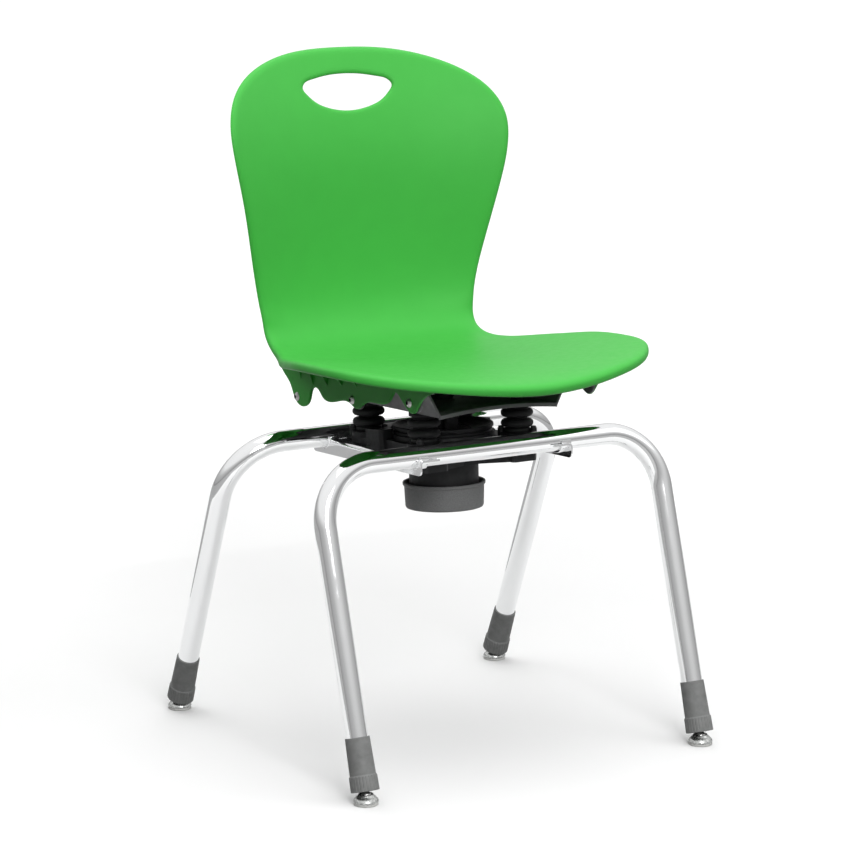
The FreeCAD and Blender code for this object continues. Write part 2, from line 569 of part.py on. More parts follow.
def base_housing():
    body = housing_body(HOUSING_BOTTOM, PAD_TOP).fuse(rear_deck())
    body = body.fuse(cylinder(RING_SEAT_R, PAD_TOP - 1, HOUSING_TOP))
    for sx, sy in QUARTERS:
        x, y = sx * BELLOWS_AT, sy * BELLOWS_AT
        body = body.fuse(cylinder(BELLOWS_SEAT_R, PAD_TOP - 1, HOUSING_TOP, x, y))
    for x, y in boss_places():
        body = body.fuse(cylinder(BOSS_R, PAD_TOP - 1, BOSS_TOP, x, y))
    for side in SIDES:
        x0, x1 = sorted((side * (BODY_HALF - 1), side * LEDGE_HALF))
        for y0, y1 in LEDGES:
            body = body.fuse(block((x0, y0, LEDGE_BOTTOM), (x1, y1, RAIL_TOP - RAIL_T)))
    body = body.cut(cylinder(CAN_R, HOUSING_BOTTOM - 1, CAN_SPIGOT))
    body = body.cut(cylinder(SPRING_BORE_R, HOUSING_BOTTOM - 1, SPRING_BORE_TOP))
    body = body.cut(cylinder(BOLT_R + 0.5, HOUSING_BOTTOM - 1, HOUSING_TOP + 1))
    for sx, sy in QUARTERS:
        x0, x1 = sorted(sx * x for x in CORING[0])
        y0, y1 = sorted(sy * y for y in CORING[1])
        body = body.cut(block((x0, y0, HOUSING_BOTTOM - 1), (x1, y1, CORING[2])))
    for x, y in boss_places():
        body = body.cut(cylinder(BOSS_BORE_R, BOSS_TOP - 9, BOSS_TOP + 1, x, y))
    for x, y in rail_bolt_places():
        body = body.cut(cylinder(RAIL_BOLT_R, LEDGE_BOTTOM - 1, RAIL_TOP, x, y))
    return body.removeSplitter()


def dust_ring():
    """Two-step ring with a dished top, round the gimbal."""
    low = HOUSING_TOP
    return turned([
        (RING_IN_R, low), (RING_OUT_R - 1.5, low), (RING_OUT_R - 1.5, low + 3.2),
        (RING_OUT_R - 3.5, low + 3.8), (RING_OUT_R - 3.5, low + 5.0), (RING_OUT_R, low + 5.6),
        (RING_OUT_R, RING_TOP - 1.2),
        (RING_OUT_R - 1.2, RING_TOP), (RING_OUT_R - 3.2, RING_TOP), (RING_OUT_R - 9.0, RING_TOP - 3.2),
        (RING_IN_R + 8.0, low + 4.4), (RING_IN_R, low + 4.0)])


def bellows():
    """Rubber bellows: base flange, collar, two ridges, top flange, open through the middle."""
    base = HOUSING_TOP
    outline = [(BELLOWS_BORE_R, base), (BELLOWS_BASE_R, base), (BELLOWS_BASE_R, base + BELLOWS_BASE_H),
               (BELLOWS_NECK_R + 1.2, BELLOWS_RIDGES[0] - RIDGE_HALF - 0.8)]
    for ridge in BELLOWS_RIDGES:
        outline += [(BELLOWS_NECK_R + 0.8, ridge - RIDGE_HALF), (BELLOWS_R - 2.6, ridge - RIDGE_HALF + 0.9),
                    (BELLOWS_R - 0.6, ridge - 1.8), (BELLOWS_R, ridge), (BELLOWS_R - 0.6, ridge + 1.8),
                    (BELLOWS_R - 2.6, ridge + RIDGE_HALF - 0.9), (BELLOWS_NECK_R + 0.8, ridge + RIDGE_HALF)]
    outline += [(BELLOWS_NECK_R + 1.2, BELLOWS_TOP - 5.7), (BELLOWS_HEAD_R, BELLOWS_TOP - 4.7),
                (BELLOWS_HEAD_R, BELLOWS_TOP), (BELLOWS_BORE_R, BELLOWS_TOP)]
    return turned(outline)


def stud():
    """Steel stud that ties a bellows' top to the bracket."""
    return cylinder(STUD_DISC_R, STUD_DISC_Z, PAN_Z).fuse(cylinder(STUD_R, PAN_Z, PAN_Z + STUD_END))


def canister():
    floor = CAN_BOTTOM + CAN_FLOOR
    can = turned([(HUB_R + 1.0, CAN_BOTTOM), (CAN_R - 2.5, CAN_BOTTOM), (CAN_R, CAN_BOTTOM + 2.5),
                  (CAN_R, CAN_SPIGOT), (CAN_R - CAN_T, CAN_SPIGOT), (CAN_R - CAN_T, floor),
                  (HUB_R + 1.0, floor)])
    for side in SIDES:
        x0, x1 = sorted((side * (CAN_R - CAN_T - CAN_KEY_DEPTH), side * (CAN_R - 1.0)))
        can = can.fuse(block((x0, -CAN_KEY_HALF, floor), (x1, CAN_KEY_HALF, SPRING_BORE_TOP - 20)))
    return can.removeSplitter()


def spring_seat():
    """Keyed plate that the knob pushes up against the tension spring."""
    low, high = SPRING_SEAT_Z, SPRING_SEAT_Z + SPRING_SEAT_T
    seat = cylinder(CAN_R - CAN_T - 0.8, low, high)
    seat = seat.fuse(cylinder(SPRING_R - SPRING_WIRE_R - 1.0, high, high + 5))
    seat = seat.cut(cylinder(BOLT_R + 0.4, low - 1, high + 6))
    for side in SIDES:
        x0, x1 = sorted((side * (CAN_R - CAN_T - CAN_KEY_DEPTH - 0.4), side * CAN_R))
        seat = seat.cut(block((x0, -CAN_KEY_HALF - 0.5, low - 1), (x1, CAN_KEY_HALF + 0.5, high + 1)))
    return seat


def draw_bolt():
    """Bolt that ties the seat down through the gimbal to the tension spring."""
    head_z = DRAW_WASHER_Z + WASHER_T
    shank = cylinder(BOLT_R, DRAW_BOLT_END, head_z)
    washer = cylinder(DRAW_WASHER_R, DRAW_WASHER_Z, head_z)
    return shank.fuse(washer).fuse(hexagon(DRAW_HEAD_FLATS, head_z, head_z + DRAW_HEAD_H))


def tension_knob():
    """Open cup with a beaded rim, a hub and six low ribs on its floor."""
    rim, foot, wall = KNOB_RIM_R, KNOB_FOOT_R, KNOB_WALL
    floor = KNOB_BOTTOM + KNOB_FLOOR
    cup = turned([(0, KNOB_BOTTOM), (foot - 2.6, KNOB_BOTTOM), (foot - 0.7, KNOB_BOTTOM + 0.8),
                  (foot, KNOB_BOTTOM + 2.8), (rim - 0.9, KNOB_TOP - 4.2), (rim - 1.5, KNOB_TOP - 3.9),
                  (rim - 1.5, KNOB_TOP - 3.4), (rim, KNOB_TOP - 3.0), (rim, KNOB_TOP - 0.8),
                  (rim - 0.8, KNOB_TOP), (rim - wall, KNOB_TOP), (foot - wall, floor), (HUB_R, floor),
                  (HUB_R, HUB_TOP), (INSERT_R, HUB_TOP), (INSERT_R, floor), (0, floor)])
    for k in range(KNOB_RIBS):
        rib = block((HUB_R - 0.5, -KNOB_RIB_HALF, floor - 0.5),
                    (foot - wall + 0.2, KNOB_RIB_HALF, floor + KNOB_RIB_RISE))
        rib.rotate(Vec(0, 0, 0), Z_AXIS, 360 / KNOB_RIBS * k)
        cup = cup.fuse(rib)
    return cup.removeSplitter()


# ---- rails and saddles, in the mechanism frame ----

def tube_bar(radius, y):
    return Part.makeCylinder(radius, 400, Vec(-200, y, 0), X_AXIS)


def side_rail(side):
    """Angle iron under both tubes, notched for their saddles: a top leg and an outer leg."""
    rail = block((RAIL_IN, RAIL_FRONT_Y, RAIL_BOTTOM), (RAIL_OUT, RAIL_REAR_Y, RAIL_TOP))
    fold = [e for e in rail.Edges if e.BoundBox.ZMin > RAIL_TOP - 0.1 and e.BoundBox.XMin > RAIL_OUT - 0.1]
    rail = rail.makeFillet(RAIL_FOLD_R, fold)
    inner = block((RAIL_IN - 1, RAIL_FRONT_Y - 1, RAIL_BOTTOM - 1),
                  (RAIL_OUT - RAIL_T, RAIL_REAR_Y + 1, RAIL_TOP - RAIL_T))
    fold = [e for e in inner.Edges if e.BoundBox.ZMin > RAIL_TOP - RAIL_T - 0.1
            and e.BoundBox.XMin > RAIL_OUT - RAIL_T - 0.1]
    rail = rail.cut(inner.makeFillet(RAIL_FOLD_R - RAIL_T, fold))
    centre_z = RAIL_BOTTOM + RAIL_CORNER_R
    for end_y, inward in ((RAIL_FRONT_Y, RAIL_CORNER_R), (RAIL_REAR_Y, -RAIL_CORNER_R)):
        y0, y1 = sorted((end_y, end_y + inward))
        corner = block((RAIL_IN, y0, RAIL_BOTTOM), (RAIL_OUT, y1, centre_z))
        middle = Vec(RAIL_IN, end_y + inward, centre_z)
        rail = rail.cut(corner.cut(Part.makeCylinder(RAIL_CORNER_R, 40, middle, X_AXIS)))
    for y in (-TUBE_OFFSET, TUBE_OFFSET):
        rail = rail.cut(tube_bar(SADDLE_R, y))
        rail = rail.cut(block((RAIL_IN - 1, y - SADDLE_R, 0), (RAIL_OUT + 1, y + SADDLE_R, 20)))
    for x, y in rail_bolt_places():
        rail = rail.cut(cylinder(RAIL_BOLT_R, RAIL_TOP - 5, RAIL_TOP + 1, abs(x), y))
    solid = max(rail.Solids, key=lambda s: s.Volume)
    return solid if side > 0 else solid.mirror(Vec(0, 0, 0), X_AXIS)


def saddle(y):
    """Half-round cradles between one top tube and the two rails."""
    cradle = tube_bar(SADDLE_R, y).cut(tube_bar(TUBE_R, y))
    reach = 2 * SADDLE_R
    for side in SIDES:
        x = RAIL_OUT - SADDLE_WIDTH if side > 0 else -RAIL_OUT
        yield cradle.common(block((x, y - reach, -reach), (x + SADDLE_WIDTH, y + reach, 1.0)))


def rail_bolt(x, y):
    """A bolt driven up through the housing's ledge into the rail."""
    shank = cylinder(RAIL_BOLT_R, LEDGE_BOTTOM, RAIL_TOP, x, y)
    return shank.fuse(hexagon(RAIL_BOLT_FLATS, LEDGE_BOTTOM - RAIL_BOLT_HEAD_H, LEDGE_BOTTOM, x, y))


# ---- build ----

save("front_leg_frame", leg_frame(FRONT_FOOT_Y, FRONT_TUBE_Y, FRONT_TUBE_Z))
save("rear_leg_frame", leg_frame(REAR_FOOT_Y, REAR_TUBE_Y, REAR_TUBE_Z))
for (sx, sy), name in zip(QUARTERS, QUARTER_NAMES):
    ends = (FRONT_FOOT_Y, FRONT_TUBE_Y, FRONT_TUBE_Z) if sy < 0 else (REAR_FOOT_Y, REAR_TUBE_Y, REAR_TUBE_Z)
    frame, ball = foot_placement(sx, *ends)
    for label, piece in (("boot", boot()), ("glide_stem", glide_stem())):
        piece.Placement = frame.multiply(piece.Placement)
        save("%s_%s" % (label, name), piece)
    for label, piece in (("glide_dome", glide_dome()), ("glide_pad", glide_pad())):
        piece.translate(ball)
        save("%s_%s" % (label, name), piece)

save("seat_shell", seat_shell())
save("skirt_screws", *skirt_screws())
save("seat_bracket", on_mech(seat_bracket()))
save("upper_yoke", on_mech(yoke(PAN_Z - YOKE_T, -1, "x")))
save("gimbal_ring", on_mech(gimbal_ring()))
save("lower_yoke", on_mech(yoke(HOUSING_TOP, 1, "y")))
save("base_housing", on_mech(base_housing()))
save("dust_ring", on_mech(dust_ring()))
for (sx, sy), name in zip(QUARTERS, QUARTER_NAMES):
    place = Vec(sx * BELLOWS_AT, sy * BELLOWS_AT, 0)
    spring = coil(CORNER_SPRING_R, CORNER_WIRE_R, HOUSING_TOP, CORNER_SPRING_TOP, CORNER_SPRING_TURNS)
    for label, piece in (("bellows", bellows()), ("corner_spring", spring)):
        piece.translate(place)
        save("%s_%s" % (label, name), on_mech(piece))
studs, nuts = [], []
for sx, sy in QUARTERS:
    x, y = sx * BELLOWS_AT, sy * BELLOWS_AT
    piece = stud()
    piece.translate(Vec(x, y, 0))
    studs.append(on_mech(piece))
    nut = hexagon(NUT_FLATS, PAN_Z + SHEET_T, PAN_Z + SHEET_T + NUT_H, x, y)
    nuts.append(on_mech(nut.cut(cylinder(STUD_R, PAN_Z, PAN_Z + STUD_END, x, y))))
save("bellows_studs", *studs)
save("bellows_nuts", *nuts)
save("boss_screws", *[on_mech(screw(x, y, BOSS_TOP, BOSS_SCREW_HEAD_R, BOSS_BORE_R, BOSS_SCREW_DEPTH,
                                    BOSS_SCREW_HEAD_H)) for x, y in boss_places()])
save("rail_bolts", *[on_mech(rail_bolt(x, y)) for x, y in rail_bolt_places()])
save("canister", on_mech(canister()))
save("tension_spring", on_mech(coil(SPRING_R, SPRING_WIRE_R, SPRING_SEAT_Z + SPRING_SEAT_T,
                                    SPRING_BORE_TOP, SPRING_TURNS)))
save("spring_seat", on_mech(spring_seat()))
save("thrust_washer", on_mech(tube(HUB_R - 0.5, BOLT_R + 0.4, SPRING_SEAT_Z - WASHER_T, SPRING_SEAT_Z)))
save("draw_bolt", on_mech(draw_bolt()))
save("draw_cushion", on_mech(tube(DRAW_CUSHION_R, BOLT_R, PAN_Z + SHEET_T, DRAW_WASHER_Z)))
save("tension_knob", on_mech(tension_knob()))
save("knob_insert", on_mech(tube(INSERT_R, BOLT_R + FIT, KNOB_BOTTOM + KNOB_FLOOR, HUB_TOP)))
save("left_rail", on_mech(side_rail(1)))
save("right_rail", on_mech(side_rail(-1)))
save("front_saddle", *[on_mech(cradle) for cradle in saddle(-TUBE_OFFSET)])
save("rear_saddle", *[on_mech(cradle) for cradle in saddle(TUBE_OFFSET)])
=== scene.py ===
"""Looks of the active-motion school chair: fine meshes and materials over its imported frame.

World frame in metres: origin on the floor, +Z up, the sitter faces -Y. The mechanism has its own upright
frame, M, with its origin between the two top tubes; sizes in it are given in millimetres times MM.
"""
import json
import math
import bpy
import numpy as np
from mathutils import Matrix, Vector, geometry


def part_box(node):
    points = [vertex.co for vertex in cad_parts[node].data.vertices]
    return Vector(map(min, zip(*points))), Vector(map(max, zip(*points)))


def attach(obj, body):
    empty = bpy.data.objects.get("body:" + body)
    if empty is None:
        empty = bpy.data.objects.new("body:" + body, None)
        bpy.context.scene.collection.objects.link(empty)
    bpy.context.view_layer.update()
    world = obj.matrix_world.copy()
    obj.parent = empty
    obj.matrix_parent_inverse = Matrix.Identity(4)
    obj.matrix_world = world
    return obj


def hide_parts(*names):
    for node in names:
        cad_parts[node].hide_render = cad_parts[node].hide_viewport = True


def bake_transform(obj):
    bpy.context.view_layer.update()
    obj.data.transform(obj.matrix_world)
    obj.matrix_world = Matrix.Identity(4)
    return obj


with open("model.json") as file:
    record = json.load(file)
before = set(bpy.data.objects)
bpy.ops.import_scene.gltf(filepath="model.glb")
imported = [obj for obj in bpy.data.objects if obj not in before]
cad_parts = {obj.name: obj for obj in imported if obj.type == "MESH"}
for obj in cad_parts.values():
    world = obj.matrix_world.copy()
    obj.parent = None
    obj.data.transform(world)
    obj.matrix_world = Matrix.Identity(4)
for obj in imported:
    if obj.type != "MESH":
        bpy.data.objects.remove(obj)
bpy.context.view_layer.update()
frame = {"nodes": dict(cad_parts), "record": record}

NODES = frame["nodes"]
JOINTS = {j["name"]: j for j in frame["record"]["behaviour"]["joints"]}
MM = 0.001
SIDES = (-1, 1)
QUARTERS = ((-1, -1), (1, -1), (-1, 1), (1, 1))
QUARTER_NAMES = ("front_right", "front_left", "rear_right", "rear_left")

# mechanism frame, from the joints
PIVOT_Z = 30 * MM
UP = Vector(JOINTS["tension_travel"]["axis"])
FORE_AFT = Vector(JOINTS["seat_roll"]["axis"])
ORIGIN = Vector(JOINTS["seat_roll"]["pos_m"]) - UP * PIVOT_Z
MECH = Matrix(((1, FORE_AFT.x, UP.x, ORIGIN.x), (0, FORE_AFT.y, UP.y, ORIGIN.y),
               (0, FORE_AFT.z, UP.z, ORIGIN.z), (0, 0, 0, 1)))
PAN_Z = 45 * MM
HOUSING_TOP = 8 * MM
BELLOWS_AT = 64 * MM
NECK_Z = 25.45 * MM
BELLOWS_BLEND = (13 * MM, 39.5 * MM)
CORNER_COIL_R, CORNER_WIRE_R, CORNER_COIL_TOP, CORNER_TURNS = 7.2 * MM, 1.3 * MM, 41.4 * MM, 6
TENSION_COIL_R, TENSION_WIRE_R, TENSION_TURNS = 24 * MM, 2.8 * MM, 5.5
TENSION_LOW, TENSION_HIGH = -54 * MM, -4 * MM

# leg tubes and feet
TUBE_R = 12.7 * MM
BEND_R = 70 * MM
BALL_Z = 9.5 * MM
TUBE_END = 14.5 * MM

# seat shell
SHELL_T = 5 * MM
SHELL_PROFILE = (
    (-256.0, 451.5, 2800), (-245.0, 457.5, 2400), (-228.0, 462.2, 2000), (-191.0, 464.6, 1750),
    (-141.0, 463.5, 1450), (-91.0, 460.0, 1290), (-41.0, 455.0, 1130), (9.0, 450.0, 1090),
    (59.0, 446.0, 1150), (99.0, 444.8, 1240), (129.0, 447.0, 900), (155.0, 455.5, 600),
    (172.8, 470.0, 400), (183.0, 490.0, 355), (188.0, 520.0, 345), (188.5, 570.0, 335),
    (187.0, 630.0, 332), (188.3, 670.0, 345), (196.3, 715.0, 362), (210.3, 758.0, 385),
    (230.3, 806.0, 410))
SEAT_OUTLINE = (
    (147.6, 131.8), (151.5, 115.0), (160.5, 94.6), (172.5, 64.6), (185.6, 34.6), (197.4, 4.6),
    (207.0, -22.0), (212.5, -52.0), (214.0, -82.0), (212.5, -112.0), (205.2, -141.4), (189.5, -167.4),
    (150.0, -203.7), (115.6, -221.9), (80.4, -234.9), (40.2, -244.3), (0.0, -247.6))
BACK_OUTLINE = (
    (147.6, 480.0), (152.4, 510.0), (161.8, 555.0), (171.8, 600.0), (182.3, 645.0), (191.3, 690.0),
    (192.4, 718.0), (183.0, 747.0), (161.5, 770.0), (126.0, 788.5), (70.0, 802.3), (0.0, 806.8))
HOLE_OUTLINE = (
    (0.0, 774.0), (28.0, 772.2), (47.0, 768.9), (58.5, 765.0), (62.4, 759.0), (58.0, 752.0),
    (46.0, 741.7), (28.0, 734.2), (0.0, 730.2))
# section of the rolled rim and of the hole's edge: (distance in from the outline, depth), millimetres
RIM_SECTION = (
    (13.0, 0.0), (10.0, 0.05), (7.6, 0.25), (5.6, 0.7), (4.0, 1.35), (2.6, 2.25), (1.5, 3.3), (0.7, 4.5),
    (0.2, 5.8), (0.0, 7.1), (0.15, 8.2), (0.7, 9.0), (1.6, 9.45), (2.6, 9.3), (3.5, 8.6), (4.1, 7.4),
    (5.0, 6.1), (6.6, 5.3), (9.0, 5.0), (13.0, 5.0))
HOLE_SECTION = (
    (8.0, 0.0), (5.2, 0.05), (3.4, 0.3), (1.9, 0.9), (0.8, 1.7), (0.15, 2.6), (0.0, 3.3), (0.2, 4.0),
    (0.8, 4.6), (1.8, 4.95), (4.0, 5.0), (8.0, 5.0))
# how far the rim turns down past the sheet, as a share of the section's own; it changes over the waist
RIM_SEAT_SHARE, RIM_BACK_SHARE = 1.6, 0.15
RIM_CHANGE = (0.36, 0.46)
GRID = 7 * MM
GRID_ROW = GRID * math.sqrt(3) / 2
GRID_COLUMNS = 40
PROFILE_SAMPLES = 3000
RIM_COUNT, HOLE_COUNT = 620, 120
# distances along the profile: between these the seat bends up into the back
SEAT_MIDDLE, SEAT_END = 0.25, 0.50
Y, Z = 1, 2

# skirts
SKIRT_X, SKIRT_T = 120 * MM, 3.5 * MM
SKIRT_SCREWS = ((121.0, 399.1), (-11.8, 416.0), (-141.7, 433.3))
# painted shade in the sockets of the skirt screws' heads: their radius, and the share of the base colour
# left there
SOCKET_R, SOCKET_SHADE = 2.3 * MM, 0.08
SKIRT_COLUMNS, SKIRT_STEPS = 240, 8
EDGE_ROUNDING = 0.9 * MM
# gussets outside each skirt: y, how far down they reach, and how far out
GUSSETS = ((112.0, 420.0, 7.0), (81.5, 417.0, 11.0), (47.3, 423.0, 17.0), (12.3, 428.7, 20.0),
           (-22.1, 432.7, 18.0), (-56.0, 437.7, 14.0), (-90.0, 442.0, 12.0))
GUSSET_HALF, GUSSET_INTO_WALL, GUSSET_INTO_SHEET = 0.7 * MM, 0.5 * MM, 3 * MM
UNDER_RIBS_Y = (-150, -120, -90, -60, -30, 0, 30, 60, 90)
UNDER_RIB_DEEP, UNDER_RIB_HALF = 5 * MM, 0.9 * MM


# ---- curves ----

class Spline:
    """Smooth curve through points, measured by the distance along its chords; closed or with free ends."""

    def __init__(self, points, at=None, closed=False):
        p = np.array(points, float)
        if closed:
            p = np.vstack([p, p[:1]])
        if at is None:
            at = np.concatenate([[0], np.cumsum(np.linalg.norm(np.diff(p, axis=0), axis=1))])
        n, gap = len(p), np.diff(at)
        matrix, right = np.zeros((n, n)), np.zeros(p.shape)
        slope = np.diff(p, axis=0) / gap[:, None]
        for k in range(1, n - 1):
            matrix[k, k - 1:k + 2] = gap[k - 1], 2 * (gap[k - 1] + gap[k]), gap[k]
            right[k] = 6 * (slope[k] - slope[k - 1])
        if closed:
            matrix[0, 0], matrix[0, -1] = 1, -1
            matrix[-1, -2], matrix[-1, 0], matrix[-1, 1] = gap[-1], 2 * (gap[-1] + gap[0]), gap[0]
            right[-1] = 6 * (slope[0] - slope[-1])
        else:
            matrix[0, 0] = matrix[-1, -1] = 1
        self.at, self.points, self.gap = at, p, gap
        self.bend = np.linalg.solve(matrix, right)
        self.length = at[-1]

    def parts(self, t):
        t = np.asarray(t, float)
        k = np.clip(np.searchsorted(self.at, t, side="right") - 1, 0, len(self.gap) - 1)
        h = self.gap[k][..., None]
        a = (self.at[k + 1] - t)[..., None] / h
        return k, h, a, 1 - a

    def value(self, t):
        k, h, a, b = self.parts(t)
        curve = (a ** 3 - a) * self.bend[k] + (b ** 3 - b) * self.bend[k + 1]
        return a * self.points[k] + b * self.points[k + 1] + curve * h * h / 6

    def slope(self, t):
        k, h, a, b = self.parts(t)
        turn = (3 * b * b - 1) * self.bend[k + 1] - (3 * a * a - 1) * self.bend[k]
        return (self.points[k + 1] - self.points[k]) / h + turn * h / 6


def rounded(points, radius, closed=True, steps=4):
    """A polygon in the plane with every corner replaced by a small curve."""
    out = []
    count = len(points)
    for k, corner in enumerate(points):
        if not closed and k in (0, count - 1):
            out.append(corner)
            continue
        here = Vector(corner)
        before, after = Vector(points[k - 1]) - here, Vector(points[(k + 1) % count]) - here
        start = here + before.normalized() * min(radius, before.length * 0.45)
        end = here + after.normalized() * min(radius, after.length * 0.45)
        for step in range(steps + 1):
            t = step / steps
            out.append(tuple(start * (1 - t) ** 2 + here * 2 * t * (1 - t) + end * t * t))
    return out


# ---- meshes ----

def piece(name, verts, faces, material, smooth=True):
    mesh = bpy.data.meshes.new(name)
    mesh.from_pydata([tuple(v) for v in verts], [], [tuple(f) for f in faces])
    mesh.validate()
    mesh.materials.append(material)
    mesh.polygons.foreach_set("use_smooth", [smooth] * len(mesh.polygons))
    mesh.update()
    obj = bpy.data.objects.new(name, mesh)
    bpy.context.scene.collection.objects.link(obj)
    return obj


def weighted(obj):
    """Flat faces stay flat next to their rounded edges."""
    normals = obj.modifiers.new("weighted normals", "WEIGHTED_NORMAL")
    normals.keep_sharp = True
    return obj


def strip(rows, columns, closed_rows=False, closed_columns=False, start=0):
    """Quads over a grid of vertices, row by row."""
    faces = []
    for r in range(rows if closed_rows else rows - 1):
        for c in range(columns if closed_columns else columns - 1):
            r1, c1 = (r + 1) % rows, (c + 1) % columns
            faces.append((start + r * columns + c, start + r * columns + c1,
                          start + r1 * columns + c1, start + r1 * columns + c))
    return faces


def lathe(outline, place, segments=64, wave=None):
    """Vertices and faces of a closed outline of (radius, height), turned about the upright axis of place."""
    verts = []
    for r, z in outline:
        for k in range(segments):
            angle = 2 * math.pi * k / segments
            radius = r + (wave(r, z, angle) if wave else 0.0)
            verts.append(place @ Vector((radius * math.cos(angle), radius * math.sin(angle), z)))
    return verts, strip(len(outline), segments, closed_rows=True, closed_columns=True)


def tube_along(path, directions, radius, sides=40, cap=False):
    """A round bar along points, with a given direction at each."""
    side = Vector((0, 1, 0))
    if abs(Vector(directions[0]).dot(side)) > 0.9:
        side = Vector((1, 0, 0))
    verts = []
    for point, direction in zip(path, directions):
        d = Vector(direction).normalized()
        side = (side - d * side.dot(d)).normalized()
        other = d.cross(side)
        for k in range(sides):
            angle = 2 * math.pi * k / sides
            verts.append(Vector(point) + (side * math.cos(angle) + other * math.sin(angle)) * radius)
    faces = strip(len(path), sides, closed_columns=True)
    if cap:
        faces += [tuple(range(sides))[::-1], tuple(range(len(verts) - sides, len(verts)))]
    return verts, faces


def join(*parts):
    """Several (verts, faces) as one."""
    verts, faces = [], []
    for v, f in parts:
        faces += [tuple(i + len(verts) for i in face) for face in f]
        verts += list(v)
    return verts, faces


def moved(parts, place):
    verts, faces = parts
    return [place @ Vector(v) for v in verts], faces


# ---- materials ----

class Finish:
    """A procedural material on a Principled shader, in object space."""

    def __init__(self, name, colour, roughness, metallic=0.0, **sockets):
        self.material = bpy.data.materials.new(name)
        self.material.use_nodes = True
        self.tree = self.material.node_tree
        self.shader = self.tree.nodes["Principled BSDF"]
        self.shader.inputs["Base Color"].default_value = (*colour, 1)
        self.shader.inputs["Roughness"].default_value = roughness
        self.shader.inputs["Metallic"].default_value = metallic
        for label, value in sockets.items():
            self.shader.inputs[label.replace("_", " ")].default_value = value
        self.colour, self.roughness = colour, roughness
        self.place = self.node("ShaderNodeTexCoord").outputs["Object"]

    def node(self, kind, **inputs):
        made = self.tree.nodes.new(kind)
        for label, value in inputs.items():
            made.inputs[label.replace("_", " ")].default_value = value
        return made

    def noise(self, scale, detail=2.0, stretch=None, roughness=0.5):
        texture = self.node("ShaderNodeTexNoise", Scale=scale, Detail=detail, Roughness=roughness)
        source = self.place
        if stretch:
            mapping = self.node("ShaderNodeMapping", Scale=stretch)
            self.tree.links.new(source, mapping.inputs["Vector"])
            source = mapping.outputs["Vector"]
        self.tree.links.new(source, texture.inputs["Vector"])
        return texture.outputs["Fac"]

    def ranged(self, value, low, high):
        spread = self.node("ShaderNodeMapRange", From_Min=0.3, From_Max=0.7, To_Min=low, To_Max=high)
        self.tree.links.new(value, spread.inputs["Value"])
        return spread.outputs["Result"]

    def mottle(self, value, dark, light):
        """Colour varies between two shades of the base colour."""
        ramp = self.tree.nodes.new("ShaderNodeValToRGB")
        ramp.color_ramp.elements[0].position, ramp.color_ramp.elements[1].position = 0.3, 0.7
        ramp.color_ramp.elements[0].color = (*[c * dark for c in self.colour], 1)
        ramp.color_ramp.elements[1].color = (*[min(c * light, 1) for c in self.colour], 1)
        self.tree.links.new(value, ramp.inputs["Fac"])
        self.tree.links.new(ramp.outputs["Color"], self.shader.inputs["Base Color"])
        return self

    def gloss(self, value, low, high):
        self.tree.links.new(self.ranged(value, low, high), self.shader.inputs["Roughness"])
        return self

    def darken_near(self, centres, radius, shade):
        """Painted shade: a darker base colour inside a radius of axes that run along X through the centres.
        """
        flat = self.node("ShaderNodeVectorMath")
        flat.operation = "MULTIPLY"
        flat.inputs[1].default_value = (0, 1, 1)
        self.tree.links.new(self.place, flat.inputs[0])
        nearest = None
        for centre in centres:
            away = self.node("ShaderNodeVectorMath")
            away.operation = "DISTANCE"
            away.inputs[1].default_value = centre
            self.tree.links.new(flat.outputs["Vector"], away.inputs[0])
            value = away.outputs["Value"]
            if nearest:
                lower = self.node("ShaderNodeMath")
                lower.operation = "MINIMUM"
                self.tree.links.new(nearest, lower.inputs[0])
                self.tree.links.new(value, lower.inputs[1])
                value = lower.outputs["Value"]
            nearest = value
        spread = self.node("ShaderNodeMapRange", From_Min=radius, From_Max=radius * 1.05, To_Min=shade,
                           To_Max=1.0)
        self.tree.links.new(nearest, spread.inputs["Value"])
        colour = self.node("ShaderNodeVectorMath")
        colour.operation = "SCALE"
        self.tree.links.new(self.shader.inputs["Base Color"].links[0].from_socket, colour.inputs[0])
        self.tree.links.new(spread.outputs["Result"], colour.inputs["Scale"])
        self.tree.links.new(colour.outputs["Vector"], self.shader.inputs["Base Color"])
        return self

    def bump(self, value, strength, distance):
        made = self.node("ShaderNodeBump", Strength=strength, Distance=distance)
        self.tree.links.new(value, made.inputs["Height"])
        previous = self.shader.inputs["Normal"].links
        if previous:
            self.tree.links.new(previous[0].from_socket, made.inputs["Normal"])
        self.tree.links.new(made.outputs["Normal"], self.shader.inputs["Normal"])
        return self


def green_shell():
    """Moulded polypropylene: saturated green with a very fine grain and a soft sheen."""
    f = Finish("green shell", (0.062, 0.44, 0.064), 0.46, Specular_IOR_Level=0.26,
               Specular_Tint=(0.55, 1.0, 0.55, 1.0))
    f.mottle(f.noise(38, 4), 0.985, 1.015).gloss(f.noise(120, 3), 0.44, 0.50)
    return f.bump(f.noise(2600, 2), 0.06, 0.0001).material


def chrome():
    """Polished chrome plate with faint polishing haze."""
    f = Finish("chrome", (0.80, 0.805, 0.81), 0.07, metallic=1.0)
    f.mottle(f.noise(9, 3), 0.98, 1.02).gloss(f.noise(60, 4), 0.045, 0.10)
    return f.bump(f.noise(900, 2, stretch=(1, 1, 0.2)), 0.012, 0.0001).material


def bracket_paint():
    """Dark grey powder coat with its orange-peel texture."""
    f = Finish("powder coat", (0.175, 0.177, 0.180), 0.5)
    f.mottle(f.noise(60, 4), 0.9, 1.1).gloss(f.noise(140, 3), 0.42, 0.58)
    return f.bump(f.noise(1500, 3), 0.25, 0.00015).material


